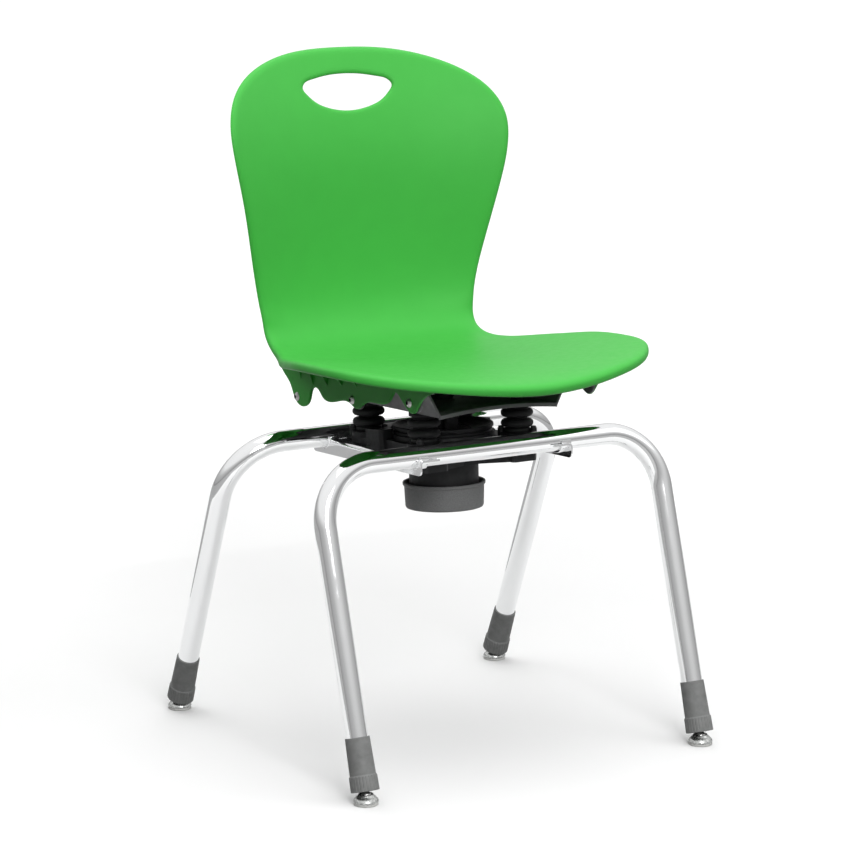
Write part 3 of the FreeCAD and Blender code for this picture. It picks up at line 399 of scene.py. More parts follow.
def casting():
    """Black glass-filled nylon, slightly mottled."""
    f = Finish("black casting", (0.014, 0.0145, 0.0155), 0.52, Specular_IOR_Level=0.25)
    f.mottle(f.noise(90, 5), 0.8, 1.25).gloss(f.noise(220, 3), 0.44, 0.6)
    return f.bump(f.noise(1900, 3), 0.22, 0.00012).material


def rubber(name, colour):
    f = Finish(name, colour, 0.6, Specular_IOR_Level=0.28)
    f.mottle(f.noise(120, 4), 0.88, 1.12).gloss(f.noise(300, 3), 0.52, 0.68)
    return f.bump(f.noise(1600, 3), 0.18, 0.0001).material


def grey_plastic():
    """Knob plastic with a visible spark-eroded grain."""
    f = Finish("grey plastic", (0.160, 0.163, 0.163), 0.55)
    f.mottle(f.noise(900, 3, roughness=0.7), 0.78, 1.22).gloss(f.noise(200, 3), 0.48, 0.62)
    return f.bump(f.noise(1300, 3, roughness=0.7), 0.5, 0.0002).material


def zinc_steel():
    f = Finish("zinc plate", (0.62, 0.62, 0.61), 0.3, metallic=1.0)
    f.mottle(f.noise(160, 4), 0.8, 1.1).gloss(f.noise(240, 4), 0.22, 0.42)
    return f.bump(f.noise(1400, 2), 0.1, 0.0001).material


def dull_zinc():
    """Passivated zinc on the skirt screws, with painted shade inside the sockets of their heads."""
    f = Finish("dull zinc", (0.34, 0.34, 0.335), 0.36, metallic=1.0)
    f.mottle(f.noise(220, 4), 0.8, 1.15).gloss(f.noise(300, 4), 0.28, 0.46)
    # painted shade: the base colour darkens inside the sockets of the screw heads
    f.darken_near([(0, y * MM, z * MM) for y, z in SKIRT_SCREWS], SOCKET_R, SOCKET_SHADE)
    return f.bump(f.noise(1500, 2), 0.12, 0.0001).material


def black_steel():
    """Black-oxide finish with a trace of oil."""
    f = Finish("black oxide", (0.028, 0.028, 0.030), 0.38, metallic=0.6)
    f.mottle(f.noise(180, 4), 0.75, 1.3).gloss(f.noise(260, 4), 0.3, 0.5)
    return f.bump(f.noise(1400, 2), 0.1, 0.0001).material


def pressed_steel():
    """Nickel-plated pressing, scuffed by floors."""
    f = Finish("pressed steel", (0.55, 0.56, 0.55), 0.24, metallic=1.0)
    f.mottle(f.noise(420, 5, roughness=0.65), 0.45, 1.15).gloss(f.noise(500, 4), 0.16, 0.4)
    return f.bump(f.noise(700, 4), 0.3, 0.00025).material


def spring_steel():
    f = Finish("spring steel", (0.30, 0.30, 0.31), 0.36, metallic=1.0)
    f.mottle(f.noise(200, 3), 0.8, 1.15)
    return f.bump(f.noise(900, 3, stretch=(1, 1, 3)), 0.12, 0.0001).material


def nylon():
    f = Finish("nylon", (0.70, 0.70, 0.68), 0.45)
    f.mottle(f.noise(150, 4), 0.92, 1.04).gloss(f.noise(260, 3), 0.4, 0.55)
    return f.bump(f.noise(1200, 2), 0.15, 0.0001).material


def brass():
    f = Finish("brass", (0.65, 0.46, 0.20), 0.3, metallic=1.0)
    f.mottle(f.noise(180, 4), 0.85, 1.08)
    return f.bump(f.noise(1500, 2, stretch=(1, 1, 8)), 0.12, 0.0001).material


GREEN = green_shell()
CHROME = chrome()
BRACKET = bracket_paint()
CASTING = casting()
BLACK_RUBBER = rubber("black rubber", (0.012, 0.0125, 0.013))
BOOT_RUBBER = rubber("grey rubber", (0.212, 0.216, 0.213))
KNOB = grey_plastic()
ZINC = zinc_steel()
DULL_ZINC = dull_zinc()
BLACK_STEEL = black_steel()
PRESSED = pressed_steel()
SPRING = spring_steel()
NYLON = nylon()
BRASS = brass()


# ---- seat shell ----

PROFILE = Spline([(y * MM, z * MM) for y, z, _ in SHELL_PROFILE])
CURL = Spline([(1 / (2 * r * MM),) for _, _, r in SHELL_PROFILE], at=PROFILE.at)


def shell_points(s, x, depth):
    """Points of the shell at a distance along the profile, across it, and below its upper face."""
    s, x, depth = np.broadcast_arrays(np.asarray(s, float), x, depth)
    centre, along = PROFILE.value(s), PROFILE.slope(s)
    along = along / np.linalg.norm(along, axis=-1, keepdims=True)
    rise = x * x * CURL.value(s)[..., 0] - depth
    return np.stack([x, centre[..., 0] - along[..., 1] * rise, centre[..., 1] + along[..., 0] * rise], -1)


def station(value, x, axis):
    """Where along the profile the shell at x reaches a given y on the seat, or z on its way up the back."""
    s = np.linspace(0, PROFILE.length, PROFILE_SAMPLES)
    run = shell_points(s, x, 0.0)[:, axis]
    if axis == Y:
        end = int(np.argmax(run[s < SEAT_END])) + 1
        return float(np.interp(value, run[:end], s[:end]))
    start = int(np.argmin(run[s > SEAT_MIDDLE])) + int(np.searchsorted(s, SEAT_MIDDLE)) + 1
    return float(np.interp(value, run[start:], s[start:]))


def flat_outline():
    """The shell's outline laid out flat: distance along the profile against distance across."""
    seat = [(station(y * MM, w * MM, Y), w * MM) for w, y in SEAT_OUTLINE]
    back = [(station(z * MM, w * MM, Z), w * MM) for w, z in BACK_OUTLINE]
    half = seat[::-1] + back
    other = [(s, -w) for s, w in half[-2:0:-1]]
    return Spline(half + other, closed=True)


def flat_hole():
    half = [(station(z * MM, x * MM, Z), x * MM) for x, z in HOLE_OUTLINE]
    return Spline(half + [(s, -x) for s, x in half[-2:0:-1]], closed=True)


def ring(curve, count, inset):
    """Points of a closed flat curve, moved to one side."""
    t = np.linspace(0, curve.length, count, endpoint=False)
    along = curve.slope(t)
    along /= np.linalg.norm(along, axis=1, keepdims=True)
    return curve.value(t) + np.stack([-along[:, 1], along[:, 0]], 1) * inset


def turns_left(curve):
    t = np.linspace(0, curve.length, 200, endpoint=False)
    p = curve.value(t)
    q = np.roll(p, -1, axis=0)
    return float(np.sum(p[:, 0] * q[:, 1] - p[:, 1] * q[:, 0])) > 0


def inside(points, polygon):
    """Which points lie in a closed polygon."""
    x, y = points[:, 0][:, None], points[:, 1][:, None]
    a, b = polygon, np.roll(polygon, -1, axis=0)
    crosses = (a[:, 1] > y) != (b[:, 1] > y)
    with np.errstate(divide="ignore", invalid="ignore"):
        at = a[:, 0] + (y - a[:, 1]) * (b[:, 0] - a[:, 0]) / (b[:, 1] - a[:, 1])
    return np.sum(crosses & (x < at), axis=1) % 2 == 1


def sheet_mesh():
    """The curled sheet with a rolled rim and a soft-edged hand hole."""
    outline, hole = flat_outline(), flat_hole()
    inward = 1 if turns_left(outline) else -1
    outward = -1 if turns_left(hole) else 1
    rim_count, hole_count = RIM_COUNT, HOLE_COUNT
    rims = [ring(outline, rim_count, inward * d * MM) for d, _ in RIM_SECTION]
    holes = [ring(hole, hole_count, outward * d * MM) for d, _ in HOLE_SECTION]
    verts, faces = [], []

    def turned_down(flat, depth):
        """Depth of a point of the rim: its lip beyond the sheet's thickness changes along the shell."""
        share = np.interp(flat[:, 0], RIM_CHANGE, (RIM_SEAT_SHARE, RIM_BACK_SHARE))
        lip = SHELL_T / MM
        return np.where(depth > lip, lip + (depth - lip) * share, depth) * MM

    def lay(flat, depth):
        first = len(verts)
        verts.extend(shell_points(flat[:, 0], flat[:, 1], turned_down(flat, depth)))
        return first

    for rings, section, way in ((rims, RIM_SECTION, inward), (holes, HOLE_SECTION, outward)):
        first = [lay(flat, depth) for flat, (_, depth) in zip(rings, section)]
        count = len(rings[0])
        for a, b in zip(first, first[1:]):
            for k in range(count):
                n = (k + 1) % count
                quad = (a + k, a + n, b + n, b + k)
                faces.append(quad if way > 0 else quad[::-1])

    border, eye = rims[0], holes[0]
    low, high = border.min(axis=0), border.max(axis=0)
    rows = int((high[0] - low[0]) / GRID_ROW) + 1
    grid = []
    for r in range(rows):
        shift = GRID / 2 if r % 2 else 0.0
        for c in range(-GRID_COLUMNS, GRID_COLUMNS + 1):
            grid.append((low[0] + r * GRID_ROW, c * GRID + shift))
    grid = np.array(grid)
    keep = inside(grid, ring(outline, 300, inward * (RIM_SECTION[0][0] * MM + GRID * 0.6)))
    keep &= ~inside(grid, ring(hole, 100, outward * (HOLE_SECTION[0][0] * MM + GRID * 0.6)))
    flat = np.vstack([border, eye, grid[keep]])
    edges = [(k, (k + 1) % rim_count) for k in range(rim_count)]
    edges += [(rim_count + k, rim_count + (k + 1) % hole_count) for k in range(hole_count)]
    made, _, triangles, origin, _, _ = geometry.delaunay_2d_cdt(
        [Vector(p) for p in flat], edges, [], 0, 1e-7, True)
    points = np.array([tuple(p) for p in made])
    triangles = np.array([t for t in triangles if len(t) == 3])
    middles = points[triangles].mean(axis=1)
    triangles = triangles[inside(middles, border) & ~inside(middles, eye)]
    a, b, c = (points[triangles[:, k]] for k in range(3))
    ab, ac = b - a, c - a
    left = (ab[:, 0] * ac[:, 1] - ab[:, 1] * ac[:, 0]) > 0
    triangles[~left] = triangles[~left][:, ::-1]
    index = {}
    for new, old in enumerate(origin):
        if old:
            index[new] = old[0]
    last_rim = (len(RIM_SECTION) - 1) * rim_count
    hole_start = len(RIM_SECTION) * rim_count
    last_hole = hole_start + (len(HOLE_SECTION) - 1) * hole_count

    def numbers(depth, rim_first, hole_first):
        """Vertex number of each flat point on one face of the sheet."""
        out = np.zeros(len(points), int)
        for k in range(len(points)):
            old = index.get(k, len(flat))
            if old < rim_count:
                out[k] = rim_first + old
            elif old < rim_count + hole_count:
                out[k] = hole_first + old - rim_count
            else:
                out[k] = len(verts)
                verts.append(shell_points(points[k, 0], points[k, 1], depth))
        return out

    upper = numbers(0.0, 0, hole_start)
    lower = numbers(SHELL_T, last_rim, last_hole)
    faces += [tuple(upper[t][::-1]) for t in triangles]
    faces += [tuple(lower[t]) for t in triangles]
    return verts, faces


def skirt_edge():
    """The scalloped lower edge of a skirt: lobes at the screws, hollows between them."""
    (y2, z2), (y1, z1), (y0, z0) = SKIRT_SCREWS
    return Spline([(y * MM, z * MM) for y, z in (
        (168, 436), (155, 424), (138, 411.5), (127, 396), (y2 - 10, z2 - 10.3),
        (y2 - 29, z2 - 1), (y2 - 37, z2 + 15), (y2 - 50, z2 + 17), (y2 - 62, z2 + 8.5),
        (y2 - 78, z2 + 5.5), (y1 + 4.5, z1 - 5.5), (y1 - 9.5, z1 - 9.3),
        (y1 - 25, z1 - 1.5), (y1 - 71, z1 + 6), (y1 - 86, z1 + 13), (y1 - 97, z1 + 24),
        (y0 + 16, z0 - 1), (y0 - 9, z0 - 11.2), (y0 - 23, z0 + 3), (y0 - 46, z0 + 17),
        (y0 - 62, z0 + 22))])


def skirt_mesh(side):
    """A wall under the sheet with rounded edges, and the fan of gussets that ties it to the sheet."""
    edge = skirt_edge()
    count = SKIRT_COLUMNS
    t = np.linspace(0, edge.length, count)
    low, along = edge.value(t), edge.slope(t)
    along /= np.linalg.norm(along, axis=1, keepdims=True)
    inward = np.stack([along[:, 1], -along[:, 0]], 1)
    if inward[count // 2, 1] < 0:
        inward = -inward
    s = np.linspace(0, PROFILE.length, PROFILE_SAMPLES)
    under = shell_points(s, SKIRT_X, SHELL_T * 0.6)
    climb = s < s[int(np.argmax(under[s < SEAT_END, 1]))]
    roof = np.interp(low[:, 0], under[climb, 1], under[climb, 2])
    half, round_off = SKIRT_T / 2, EDGE_ROUNDING
    section = [(1, 3.0 * round_off), (1, 1.0 * round_off), (0.9, 0.4 * round_off), (0.55, 0.0),
               (-0.55, 0.0), (-0.9, 0.4 * round_off), (-1, 1.0 * round_off), (-1, 3.0 * round_off)]
    rows = []
    for across, lift in section:
        rows.append(np.column_stack([np.full(count, side * SKIRT_X + across * half), low + inward * lift]))

    def climb_rows(first):
        out = []
        for k in range(SKIRT_STEPS, 0, -1):
            mix = k / SKIRT_STEPS
            top = np.column_stack([first[:, 0], first[:, 1], np.maximum(roof, first[:, 2])])
            out.append(first * (1 - mix) + top * mix)
        return out

    rows = climb_rows(rows[0]) + rows + climb_rows(rows[-1])[::-1]
    wall = ([v for row in rows for v in row], strip(len(rows), count))
    gussets = []
    for y, z_low, reach in GUSSETS:
        top = float(np.interp(y * MM, under[climb, 1], under[climb, 2]))
        outer = side * (SKIRT_X + half)
        inner = outer - side * GUSSET_INTO_WALL
        corners = [(inner, z_low * MM), (inner, top), (outer + side * reach * MM, top + GUSSET_INTO_SHEET)]
        verts = [(x, y * MM + d * GUSSET_HALF, z) for d in SIDES for x, z in corners]
        gussets.append((verts, [(0, 1, 2), (5, 4, 3), (0, 3, 4, 1), (1, 4, 5, 2), (2, 5, 3, 0)]))
    return join(wall, *gussets)


def under_ribs():
    """Thin ribs across the underside of the seat, between the skirts."""
    parts = []
    x = np.linspace(-SKIRT_X + SKIRT_T / 2, SKIRT_X - SKIRT_T / 2, 41)
    for y in UNDER_RIBS_Y:
        s = station(y * MM, 0.0, Y)
        root, tip = SHELL_T * 0.8, SHELL_T + UNDER_RIB_DEEP
        rows = []
        for way, depth in ((-1, root), (-1, tip), (1, tip), (1, root)):
            rows.append(shell_points(s + way * UNDER_RIB_HALF, x, depth))
        parts.append(([v for row in rows for v in row], strip(4, len(x))))
    return join(*parts)


def make_shell():
    shell = piece("shell", *join(sheet_mesh(), skirt_mesh(-1), skirt_mesh(1), under_ribs()), GREEN)
    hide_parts("seat_shell")
    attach(shell, "seat")


# ---- legs ----

def foot_frame(name):
    """A foot's own frame: origin at the ball, +Z up along the leg."""
    ball = Vector(JOINTS["glide_tilt_" + name]["pos_m"])
    low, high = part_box("front_leg_frame" if name.startswith("front") else "rear_leg_frame")
    tube_y = high.y - TUBE_R if name.startswith("front") else low.y + TUBE_R
    tube = Vector((ball.x, tube_y, high.z - TUBE_R))
    up = (tube - ball).normalized()
    turn = Vector((0, 0, 1)).rotation_difference(up).to_matrix().to_4x4()
    return Matrix.Translation(ball) @ turn, tube, up


def make_leg_frame(end):
    """One inverted U of round tube with true bends."""
    path, directions = [], []
    for side, name in ((-1, end + "_right"), (1, end + "_left")):
        place, tube, up = foot_frame(name)
        foot = place @ Vector((0, 0, TUBE_END))
        start = tube - up * BEND_R
        across = Vector((-side, 0, 0))
        leg, legway = [foot, foot.lerp(start, 0.5), start], [up, up, up]
        centre = start + across * BEND_R
        for k in range(1, 25):
            angle = math.pi / 2 * k / 24
            leg.append(centre - across * BEND_R * math.cos(angle) + up * BEND_R * math.sin(angle))
            legway.append(up * math.cos(angle) + across * math.sin(angle))
        if side > 0:
            leg, legway = leg[::-1], [-d for d in legway[::-1]]
        path += leg
        directions += legway
    frame_piece = piece(end + "_tube", *tube_along(path, directions, TUBE_R, sides=64), CHROME)
    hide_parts(end + "_leg_frame")
    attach(frame_piece, "base")


BOOT_LOW, BOOT_TOP = 5.5 * MM, 66.5 * MM
BOOT_BAND_TOP = BOOT_LOW + 18.5 * MM
BOOT_BOTTOM_R, BOOT_TOP_R = 16.4 * MM, 14.1 * MM
FLUTES, FLUTE_DEPTH = 26, 0.55 * MM


def boot_outline():
    foot_r = BOOT_BOTTOM_R - 0.9 * MM

    def skin(z):
        return foot_r + (BOOT_TOP_R - foot_r) * (z - BOOT_LOW) / (BOOT_TOP - BOOT_LOW)

    corners = [(14.8 * MM, BOOT_LOW + 4.4 * MM), (14.8 * MM, BOOT_LOW), (BOOT_BOTTOM_R, BOOT_LOW)]
    band = [(BOOT_BOTTOM_R - 0.3 * MM, BOOT_BAND_TOP - 1.2 * MM),
            (skin(BOOT_BAND_TOP) - 0.1 * MM, BOOT_BAND_TOP)]
    bore = TUBE_R + 0.02 * MM
    top = [(skin(BOOT_TOP), BOOT_TOP), (bore, BOOT_TOP), (bore, BOOT_LOW + 10 * MM),
           (6 * MM, BOOT_LOW + 8.9 * MM), (6 * MM, BOOT_LOW + 4.4 * MM)]
    middle = [(skin(z), z) for z in (BOOT_LOW + 30 * MM, BOOT_LOW + 45 * MM)]
    return rounded(corners + band + middle + top, 1.0 * MM)


def flutes(r, z, angle):
    """Shallow grooves round the foot of the boot, fading out above the band."""
    if r < BOOT_TOP_R:
        return 0.0
    fade = min(max((BOOT_BAND_TOP - z) / (1.6 * MM), 0.0), 1.0)
    fade *= min(max((z - BOOT_LOW) / (1.5 * MM), 0.0), 1.0)
    groove = max(0.0, math.cos(angle * FLUTES)) ** 3
    return -FLUTE_DEPTH * groove * fade


# section of the steel cup of a glide: (radius, height above its foot), millimetres
GLIDE_CUP = ((6.6, 0), (13.6, 0), (14.5, 0.9), (14.5, 2.0), (13.2, 4.4), (10.2, 6.8), (8.6, 8.9),
             (8.0, 9.6), (7.0, 9.6), (6.7, 6.5))


def make_feet():
    for name in QUARTER_NAMES:
        place, _, _ = foot_frame(name)
        boot = piece("boot_skin_" + name, *lathe(boot_outline(), place, FLUTES * 12, flutes), BOOT_RUBBER)
        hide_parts("boot_" + name)
        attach(boot, "base")
        ball = Matrix.Translation(Vector(JOINTS["glide_tilt_" + name]["pos_m"]))
        low = 3 * MM - BALL_Z
        cup = [(r * MM, low + z * MM) for r, z in GLIDE_CUP]
        dome = piece("glide_cup_" + name, *lathe(rounded(cup, 0.9 * MM), ball, 72), PRESSED)
        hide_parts("glide_dome_" + name)
        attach(dome, "glide_" + name)


# ---- bellows and springs ----

def bellows_outline(upper):
    """One half of a bellows: from its flange to the neck between the two ridges."""
    neck, bore, ridge_r = 11.9 * MM, 9.7 * MM, 19.3 * MM
    if upper:
        flange, way, end = PAN_Z - 0.3 * MM, -1, 4.7 * MM
        collar = [(17.5 * MM, flange), (17.5 * MM, flange - end), (14.5 * MM, flange - 5.4 * MM)]
        ridge = 31.6 * MM
    else:
        flange, way = HOUSING_TOP, 1
        collar = [(15.4 * MM, flange), (15.4 * MM, flange + 5.0 * MM), (13.4 * MM, flange + 5.8 * MM)]
        ridge = 19.3 * MM
    lobe = [(neck + 1.0 * MM, ridge - way * 5.2 * MM), (neck + 1.6 * MM, ridge - way * 4.6 * MM),
            (ridge_r - 2.2 * MM, ridge - way * 4.4 * MM), (ridge_r, ridge - way * 1.6 * MM),
            (ridge_r, ridge + way * 1.6 * MM), (ridge_r - 2.2 * MM, ridge + way * 4.4 * MM),
            (neck + 0.9 * MM, ridge + way * 5.0 * MM), (neck, NECK_Z)]
    outer = rounded(collar + lobe, 1.3 * MM, closed=False)
    return [(bore, flange)] + outer + [(bore, NECK_Z)]


def coil_mesh(radius, wire, low, high, turns, place, start=0.0, stop=1.0):
    """Part of a helical spring, between two shares of its height."""
    count = int(turns * 28 * (stop - start)) + 1
    path, directions = [], []
    for k in range(count + 1):
        share = start + (stop - start) * k / count
        angle = 2 * math.pi * turns * share
        height = low + wire + (high - low - 2 * wire) * share
        path.append(place @ Vector((radius * math.cos(angle), radius * math.sin(angle), height)))
        climb = (high - low - 2 * wire) / (2 * math.pi * turns)
        way = Vector((-radius * math.sin(angle), radius * math.cos(angle), climb))
        directions.append(place.to_3x3() @ way)
    return tube_along(path, directions, wire, sides=12, cap=True)


def make_bellows():
    for (sx, sy), name in zip(QUARTERS, QUARTER_NAMES):
        place = MECH @ Matrix.Translation((sx * BELLOWS_AT, sy * BELLOWS_AT, 0))
        low, neck, high = (place @ Vector((0, 0, z)) for z in (BELLOWS_BLEND[0], NECK_Z, BELLOWS_BLEND[1]))
        halves = (("lower", ("base", "gimbal"), (low, neck), (0.0, 0.5)),
                  ("upper", ("gimbal", "seat"), (neck, high), (0.5, 1.0)))
        for half, bodies, ends, share in halves:
            skin = piece("bellows_%s_%s" % (half, name), *lathe(bellows_outline(half == "upper"), place, 72),
                         BLACK_RUBBER)
            wire = coil_mesh(CORNER_COIL_R, CORNER_WIRE_R, HOUSING_TOP, CORNER_COIL_TOP, CORNER_TURNS, place,
                             *share)
            coil = piece("coil_%s_%s" % (half, name), *wire, SPRING)
            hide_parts("bellows_" + name)
            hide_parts("corner_spring_" + name)
            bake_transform(skin)
            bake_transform(coil)


# ---- knob, canister, ring ----

KNOB_RIBS, KNOB_RIB_HALF = 6, 1.2 * MM
ROUND_SIDES = 128


def make_knob():
    rim, foot, wall = 49.5 * MM, 46.8 * MM, 2.8 * MM
    top, bottom = -51.5 * MM, -82.5 * MM
    floor, hub, bore, hub_top = bottom + 3 * MM, 15 * MM, 10.05 * MM, -61 * MM
    outline = rounded([
        (0.4 * MM, bottom), (foot - 1.0 * MM, bottom), (foot, bottom + 2.2 * MM),
        (rim - 1.7 * MM, top - 4.4 * MM), (rim - 1.3 * MM, top - 4.0 * MM), (rim - 0.1 * MM, top - 3.6 * MM),
        (rim, top - 0.5 * MM), (rim - 0.9 * MM, top), (rim - wall, top),
        (foot - wall, floor + 1.0 * MM), (hub + 0.5 * MM, floor), (hub, hub_top), (bore, hub_top),
        (bore, floor), (0.4 * MM, floor)], 0.8 * MM)
    body = lathe(outline, Matrix.Identity(4), ROUND_SIDES)
    ribs = []
    for k in range(KNOB_RIBS):
        box = [(x, y, z) for x in (hub - 1 * MM, foot - 1.5 * MM) for y in (-KNOB_RIB_HALF, KNOB_RIB_HALF)
               for z in (bottom + 1 * MM, floor + 2 * MM)]
        quads = [(0, 1, 3, 2), (4, 6, 7, 5), (0, 4, 5, 1), (2, 3, 7, 6), (0, 2, 6, 4), (1, 5, 7, 3)]
        ribs.append(moved((box, quads), Matrix.Rotation(2 * math.pi * k / KNOB_RIBS, 4, "Z")))
    knob = weighted(piece("knob_cup", *moved(join(body, *ribs), MECH), KNOB))
    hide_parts("tension_knob")
    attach(knob, "knob")


def make_canister():
    radius, wall, bottom, top = 41.5 * MM, 2.5 * MM, -72 * MM, -15 * MM
    floor, hub = bottom + 4 * MM, 16 * MM
    outline = rounded([(hub, bottom), (radius - 2 * MM, bottom), (radius, bottom + 2 * MM), (radius, top),
                       (radius - wall, top), (radius - wall, floor), (hub, floor)], 0.8 * MM)
    body = lathe(outline, Matrix.Identity(4), ROUND_SIDES)
    can = weighted(piece("canister_shell", *moved(body, MECH), CASTING))
    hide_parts("canister")
    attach(can, "base")
    wire = coil_mesh(TENSION_COIL_R, TENSION_WIRE_R, TENSION_LOW, TENSION_HIGH, TENSION_TURNS, MECH)
    coil = piece("tension_coil", *wire, SPRING)
    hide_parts("tension_spring")
    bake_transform(coil)


def make_dust_ring():
    low, outer, bore, top = HOUSING_TOP, 60.5 * MM, 34 * MM, 18 * MM
    outline = rounded([
        (bore, low), (outer - 1.5 * MM, low), (outer - 1.5 * MM, low + 3.2 * MM),
        (outer - 3.5 * MM, low + 3.9 * MM), (outer - 3.5 * MM, low + 5.0 * MM),
        (outer, low + 5.7 * MM), (outer, top - 1.0 * MM),
        (outer - 1.0 * MM, top), (outer - 3.4 * MM, top), (outer - 9.0 * MM, top - 3.2 * MM),
        (bore + 8 * MM, low + 4.6 * MM), (bore, low + 4.0 * MM)], 0.7 * MM)
    body = lathe(outline, Matrix.Identity(4), ROUND_SIDES)
    made = weighted(piece("dust_collar", *moved(body, MECH), CASTING))
    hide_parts("dust_ring")
    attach(made, "base")


# ---- nodes that stay as they are, with softened edges ----

KEPT = {
    BRACKET: ("seat_bracket",),
    CASTING: ("base_housing",),
    CHROME: ("left_rail", "right_rail", "front_saddle", "rear_saddle"),
    BLACK_RUBBER: ("draw_cushion",),
    DULL_ZINC: ("skirt_screws",),
    ZINC: ("spring_seat", "thrust_washer", *("glide_stem_" + q for q in QUARTER_NAMES)),
    BLACK_STEEL: ("upper_yoke", "lower_yoke", "gimbal_ring", "bellows_studs", "bellows_nuts", "boss_screws",
                  "rail_bolts", "draw_bolt"),
    NYLON: tuple("glide_pad_" + q for q in QUARTER_NAMES),
    BRASS: ("knob_insert",),
}
# width of the soft bevel on their edges, millimetres
SOFT_EDGE = {"seat_bracket": 0.5, "base_housing": 0.7, "left_rail": 0.5, "right_rail": 0.5,
             "front_saddle": 0.5, "rear_saddle": 0.5}
WELD_DISTANCE, BEVEL_ANGLE = 0.01 * MM, math.radians(35)


def finish_kept():
    for material, names in KEPT.items():
        for name in names:
            node = NODES[name]
            for slot in node.material_slots:
                slot.material = material
            if name in SOFT_EDGE:
                weld = node.modifiers.new("weld", "WELD")
                weld.merge_threshold = WELD_DISTANCE
                bevel = node.modifiers.new("bevel", "BEVEL")
                bevel.width = SOFT_EDGE[name] * MM
                bevel.segments = 2
                bevel.limit_method = "ANGLE"
                bevel.angle_limit = BEVEL_ANGLE
                bevel.harden_normals = True


# ---- stage ----

# grey of the surroundings against elevation: (share of the way from straight down to straight up, grey)
SURROUNDINGS = ((0.0, 0.03), (0.485, 0.05), (0.515, 0.42), (0.60, 0.55), (0.70, 1.0), (1.0, 1.12))
LIGHTS = (("key", (-0.9, -3.4, 2.3), 1.6, 68), ("top", (0.2, 0.0, 3.6), 2.4, 34),
          ("fill", (2.6, -1.8, 2.6), 2.0, 8))
LIGHTS_AIM = (0, 0, 0.45)
# the floor brightens with distance from the chair, and dark flags stand at both sides
GLOW_FROM, GLOW_TO, GLOW = 0.7, 2.5, 0.14
FLAG_X, FLAG_Y, FLAG_Z = 1.0, (-1.2, 1.8), (0.25, 0.95)
FLOOR_HALF, SWEEP_HALF, WALL_HALF = 80.0, 0.95, 20.0


def card(name, corners, material, camera=False, glossy=False, diffuse=False):
    """A flat piece of the studio, seen only by the kinds of light named."""
    made = piece(name, corners, [tuple(range(len(corners)))], material)
    made.visible_camera, made.visible_glossy, made.visible_diffuse = camera, glossy, diffuse
    made.visible_shadow = diffuse
    return made


def level(half, z):
    return [(-half, -half, z), (half, -half, z), (half, half, z), (-half, half, z)]


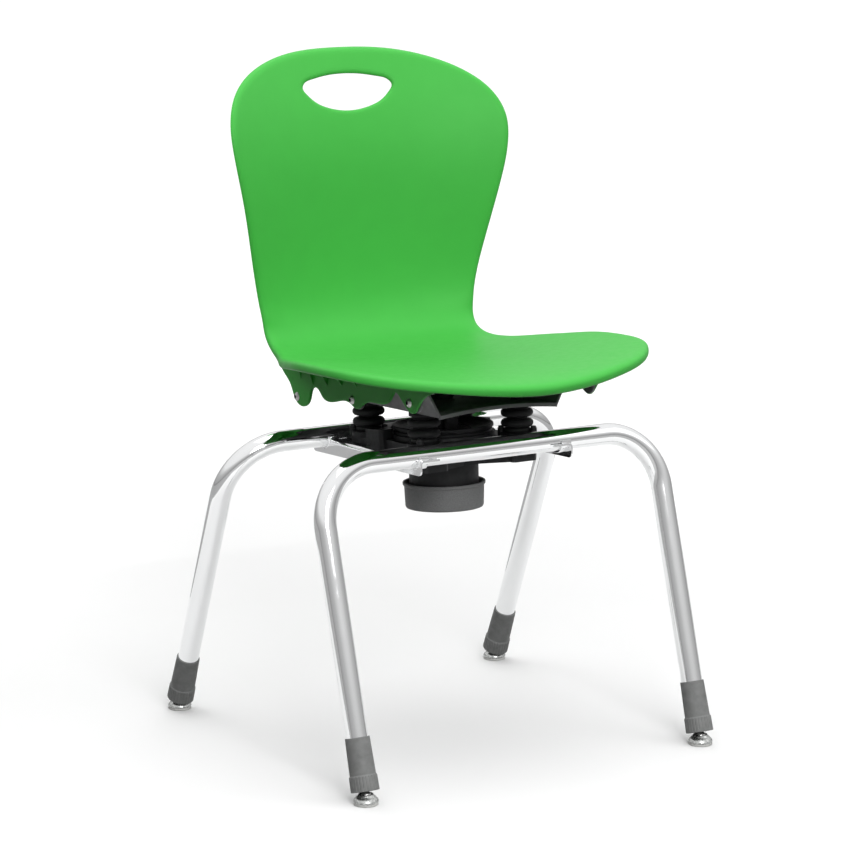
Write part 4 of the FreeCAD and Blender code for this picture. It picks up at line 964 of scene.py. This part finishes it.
def make_stage():
    floor = Finish("floor", (0.93, 0.93, 0.93), 0.9)
    floor.mottle(floor.noise(0.5), 0.995, 1.0)
    away = floor.node("ShaderNodeVectorMath")
    away.operation = "LENGTH"
    floor.tree.links.new(floor.place, away.inputs[0])
    glow = floor.node("ShaderNodeMapRange", From_Min=GLOW_FROM, From_Max=GLOW_TO, To_Min=0.0, To_Max=GLOW)
    floor.tree.links.new(away.outputs["Value"], glow.inputs["Value"])
    floor.tree.links.new(glow.outputs["Result"], floor.shader.inputs["Emission Strength"])
    floor.shader.inputs["Emission Color"].default_value = (1, 1, 1, 1)
    surround = Finish("surround", (0.40, 0.40, 0.40), 0.9)
    surround.mottle(surround.noise(0.5), 0.99, 1.0)
    flag = Finish("flag", (0.01, 0.01, 0.01), 0.9)
    card("ground", level(FLOOR_HALF, 0.0), floor.material, camera=True)
    card("sweep", level(SWEEP_HALF, 0.0005), floor.material, glossy=True)
    card("surround", level(FLOOR_HALF, -0.0005), surround.material, glossy=True)
    backdrop = Finish("backdrop", (1, 1, 1), 0.9, Emission_Color=(1, 1, 1, 1), Emission_Strength=1.0)
    backdrop.mottle(backdrop.noise(0.5), 0.995, 1.0)
    wall = [(-WALL_HALF, WALL_HALF, 0), (WALL_HALF, WALL_HALF, 0),
            (WALL_HALF, WALL_HALF, WALL_HALF), (-WALL_HALF, WALL_HALF, WALL_HALF)]
    for quarter in range(4):
        turn = Matrix.Rotation(math.radians(90 * quarter), 3, "Z")
        card("backdrop_%d" % quarter, [turn @ Vector(v) for v in wall], backdrop.material, camera=True)
    flags = bpy.data.collections.new("flags")
    for x, name in ((-FLAG_X, "flag_right"), (FLAG_X, "flag_left")):
        corners = [(x, FLAG_Y[0], FLAG_Z[0]), (x, FLAG_Y[1], FLAG_Z[0]),
                   (x, FLAG_Y[1], FLAG_Z[1]), (x, FLAG_Y[0], FLAG_Z[1])]
        flags.objects.link(card(name, corners, flag.material, diffuse=True))
    for entry in flags.collection_objects:
        entry.light_linking.link_state = "EXCLUDE"
    world = bpy.data.worlds.new("studio")
    bpy.context.scene.world = world
    world.use_nodes = True
    tree = world.node_tree
    background = tree.nodes["Background"]
    place = tree.nodes.new("ShaderNodeTexCoord").outputs["Generated"]
    split = tree.nodes.new("ShaderNodeSeparateXYZ")
    spread = tree.nodes.new("ShaderNodeMapRange")
    spread.inputs["From Min"].default_value = -1.0
    ramp = tree.nodes.new("ShaderNodeValToRGB")
    stops = ramp.color_ramp.elements
    while len(stops) < len(SURROUNDINGS):
        stops.new(0.5)
    for stop, (at, grey) in zip(stops, SURROUNDINGS):
        stop.position = at
        stop.color = (grey, grey, grey, 1)
    tree.links.new(place, split.inputs[0])
    tree.links.new(split.outputs["Z"], spread.inputs["Value"])
    tree.links.new(spread.outputs["Result"], ramp.inputs["Fac"])
    tree.links.new(ramp.outputs["Color"], background.inputs["Color"])
    for name, place, size, power in LIGHTS:
        light = bpy.data.lights.new(name, "AREA")
        light.size, light.energy = size, power
        lamp = bpy.data.objects.new(name, light)
        lamp.location = place
        lamp.rotation_euler = (Vector(LIGHTS_AIM) - Vector(place)).to_track_quat("-Z", "Y").to_euler()
        lamp.light_linking.blocker_collection = flags
        bpy.context.scene.collection.objects.link(lamp)


LENS, SENSOR, SHIFT = 140.33, 36, (-0.0027, 0.0662)
EYE, TARGET, VIEW_END = (-2.0101, -3.3109, 1.1237), (-0.0002, 0.0197, 0.3), 300


def make_camera():
    data = bpy.data.cameras.new("camera")
    data.lens, data.sensor_width = LENS, SENSOR
    data.shift_x, data.shift_y = SHIFT
    data.clip_end = VIEW_END
    camera = bpy.data.objects.new("camera", data)
    eye, target = Vector(EYE), Vector(TARGET)
    camera.location = eye
    camera.rotation_euler = (target - eye).to_track_quat("-Z", "Y").to_euler()
    bpy.context.scene.collection.objects.link(camera)
    bpy.context.scene.camera = camera
    bpy.context.scene.view_settings.view_transform = "Standard"


make_shell()
make_leg_frame("front")
make_leg_frame("rear")
make_feet()
make_bellows()
make_knob()
make_canister()
make_dust_ring()
finish_kept()
make_stage()
make_camera()
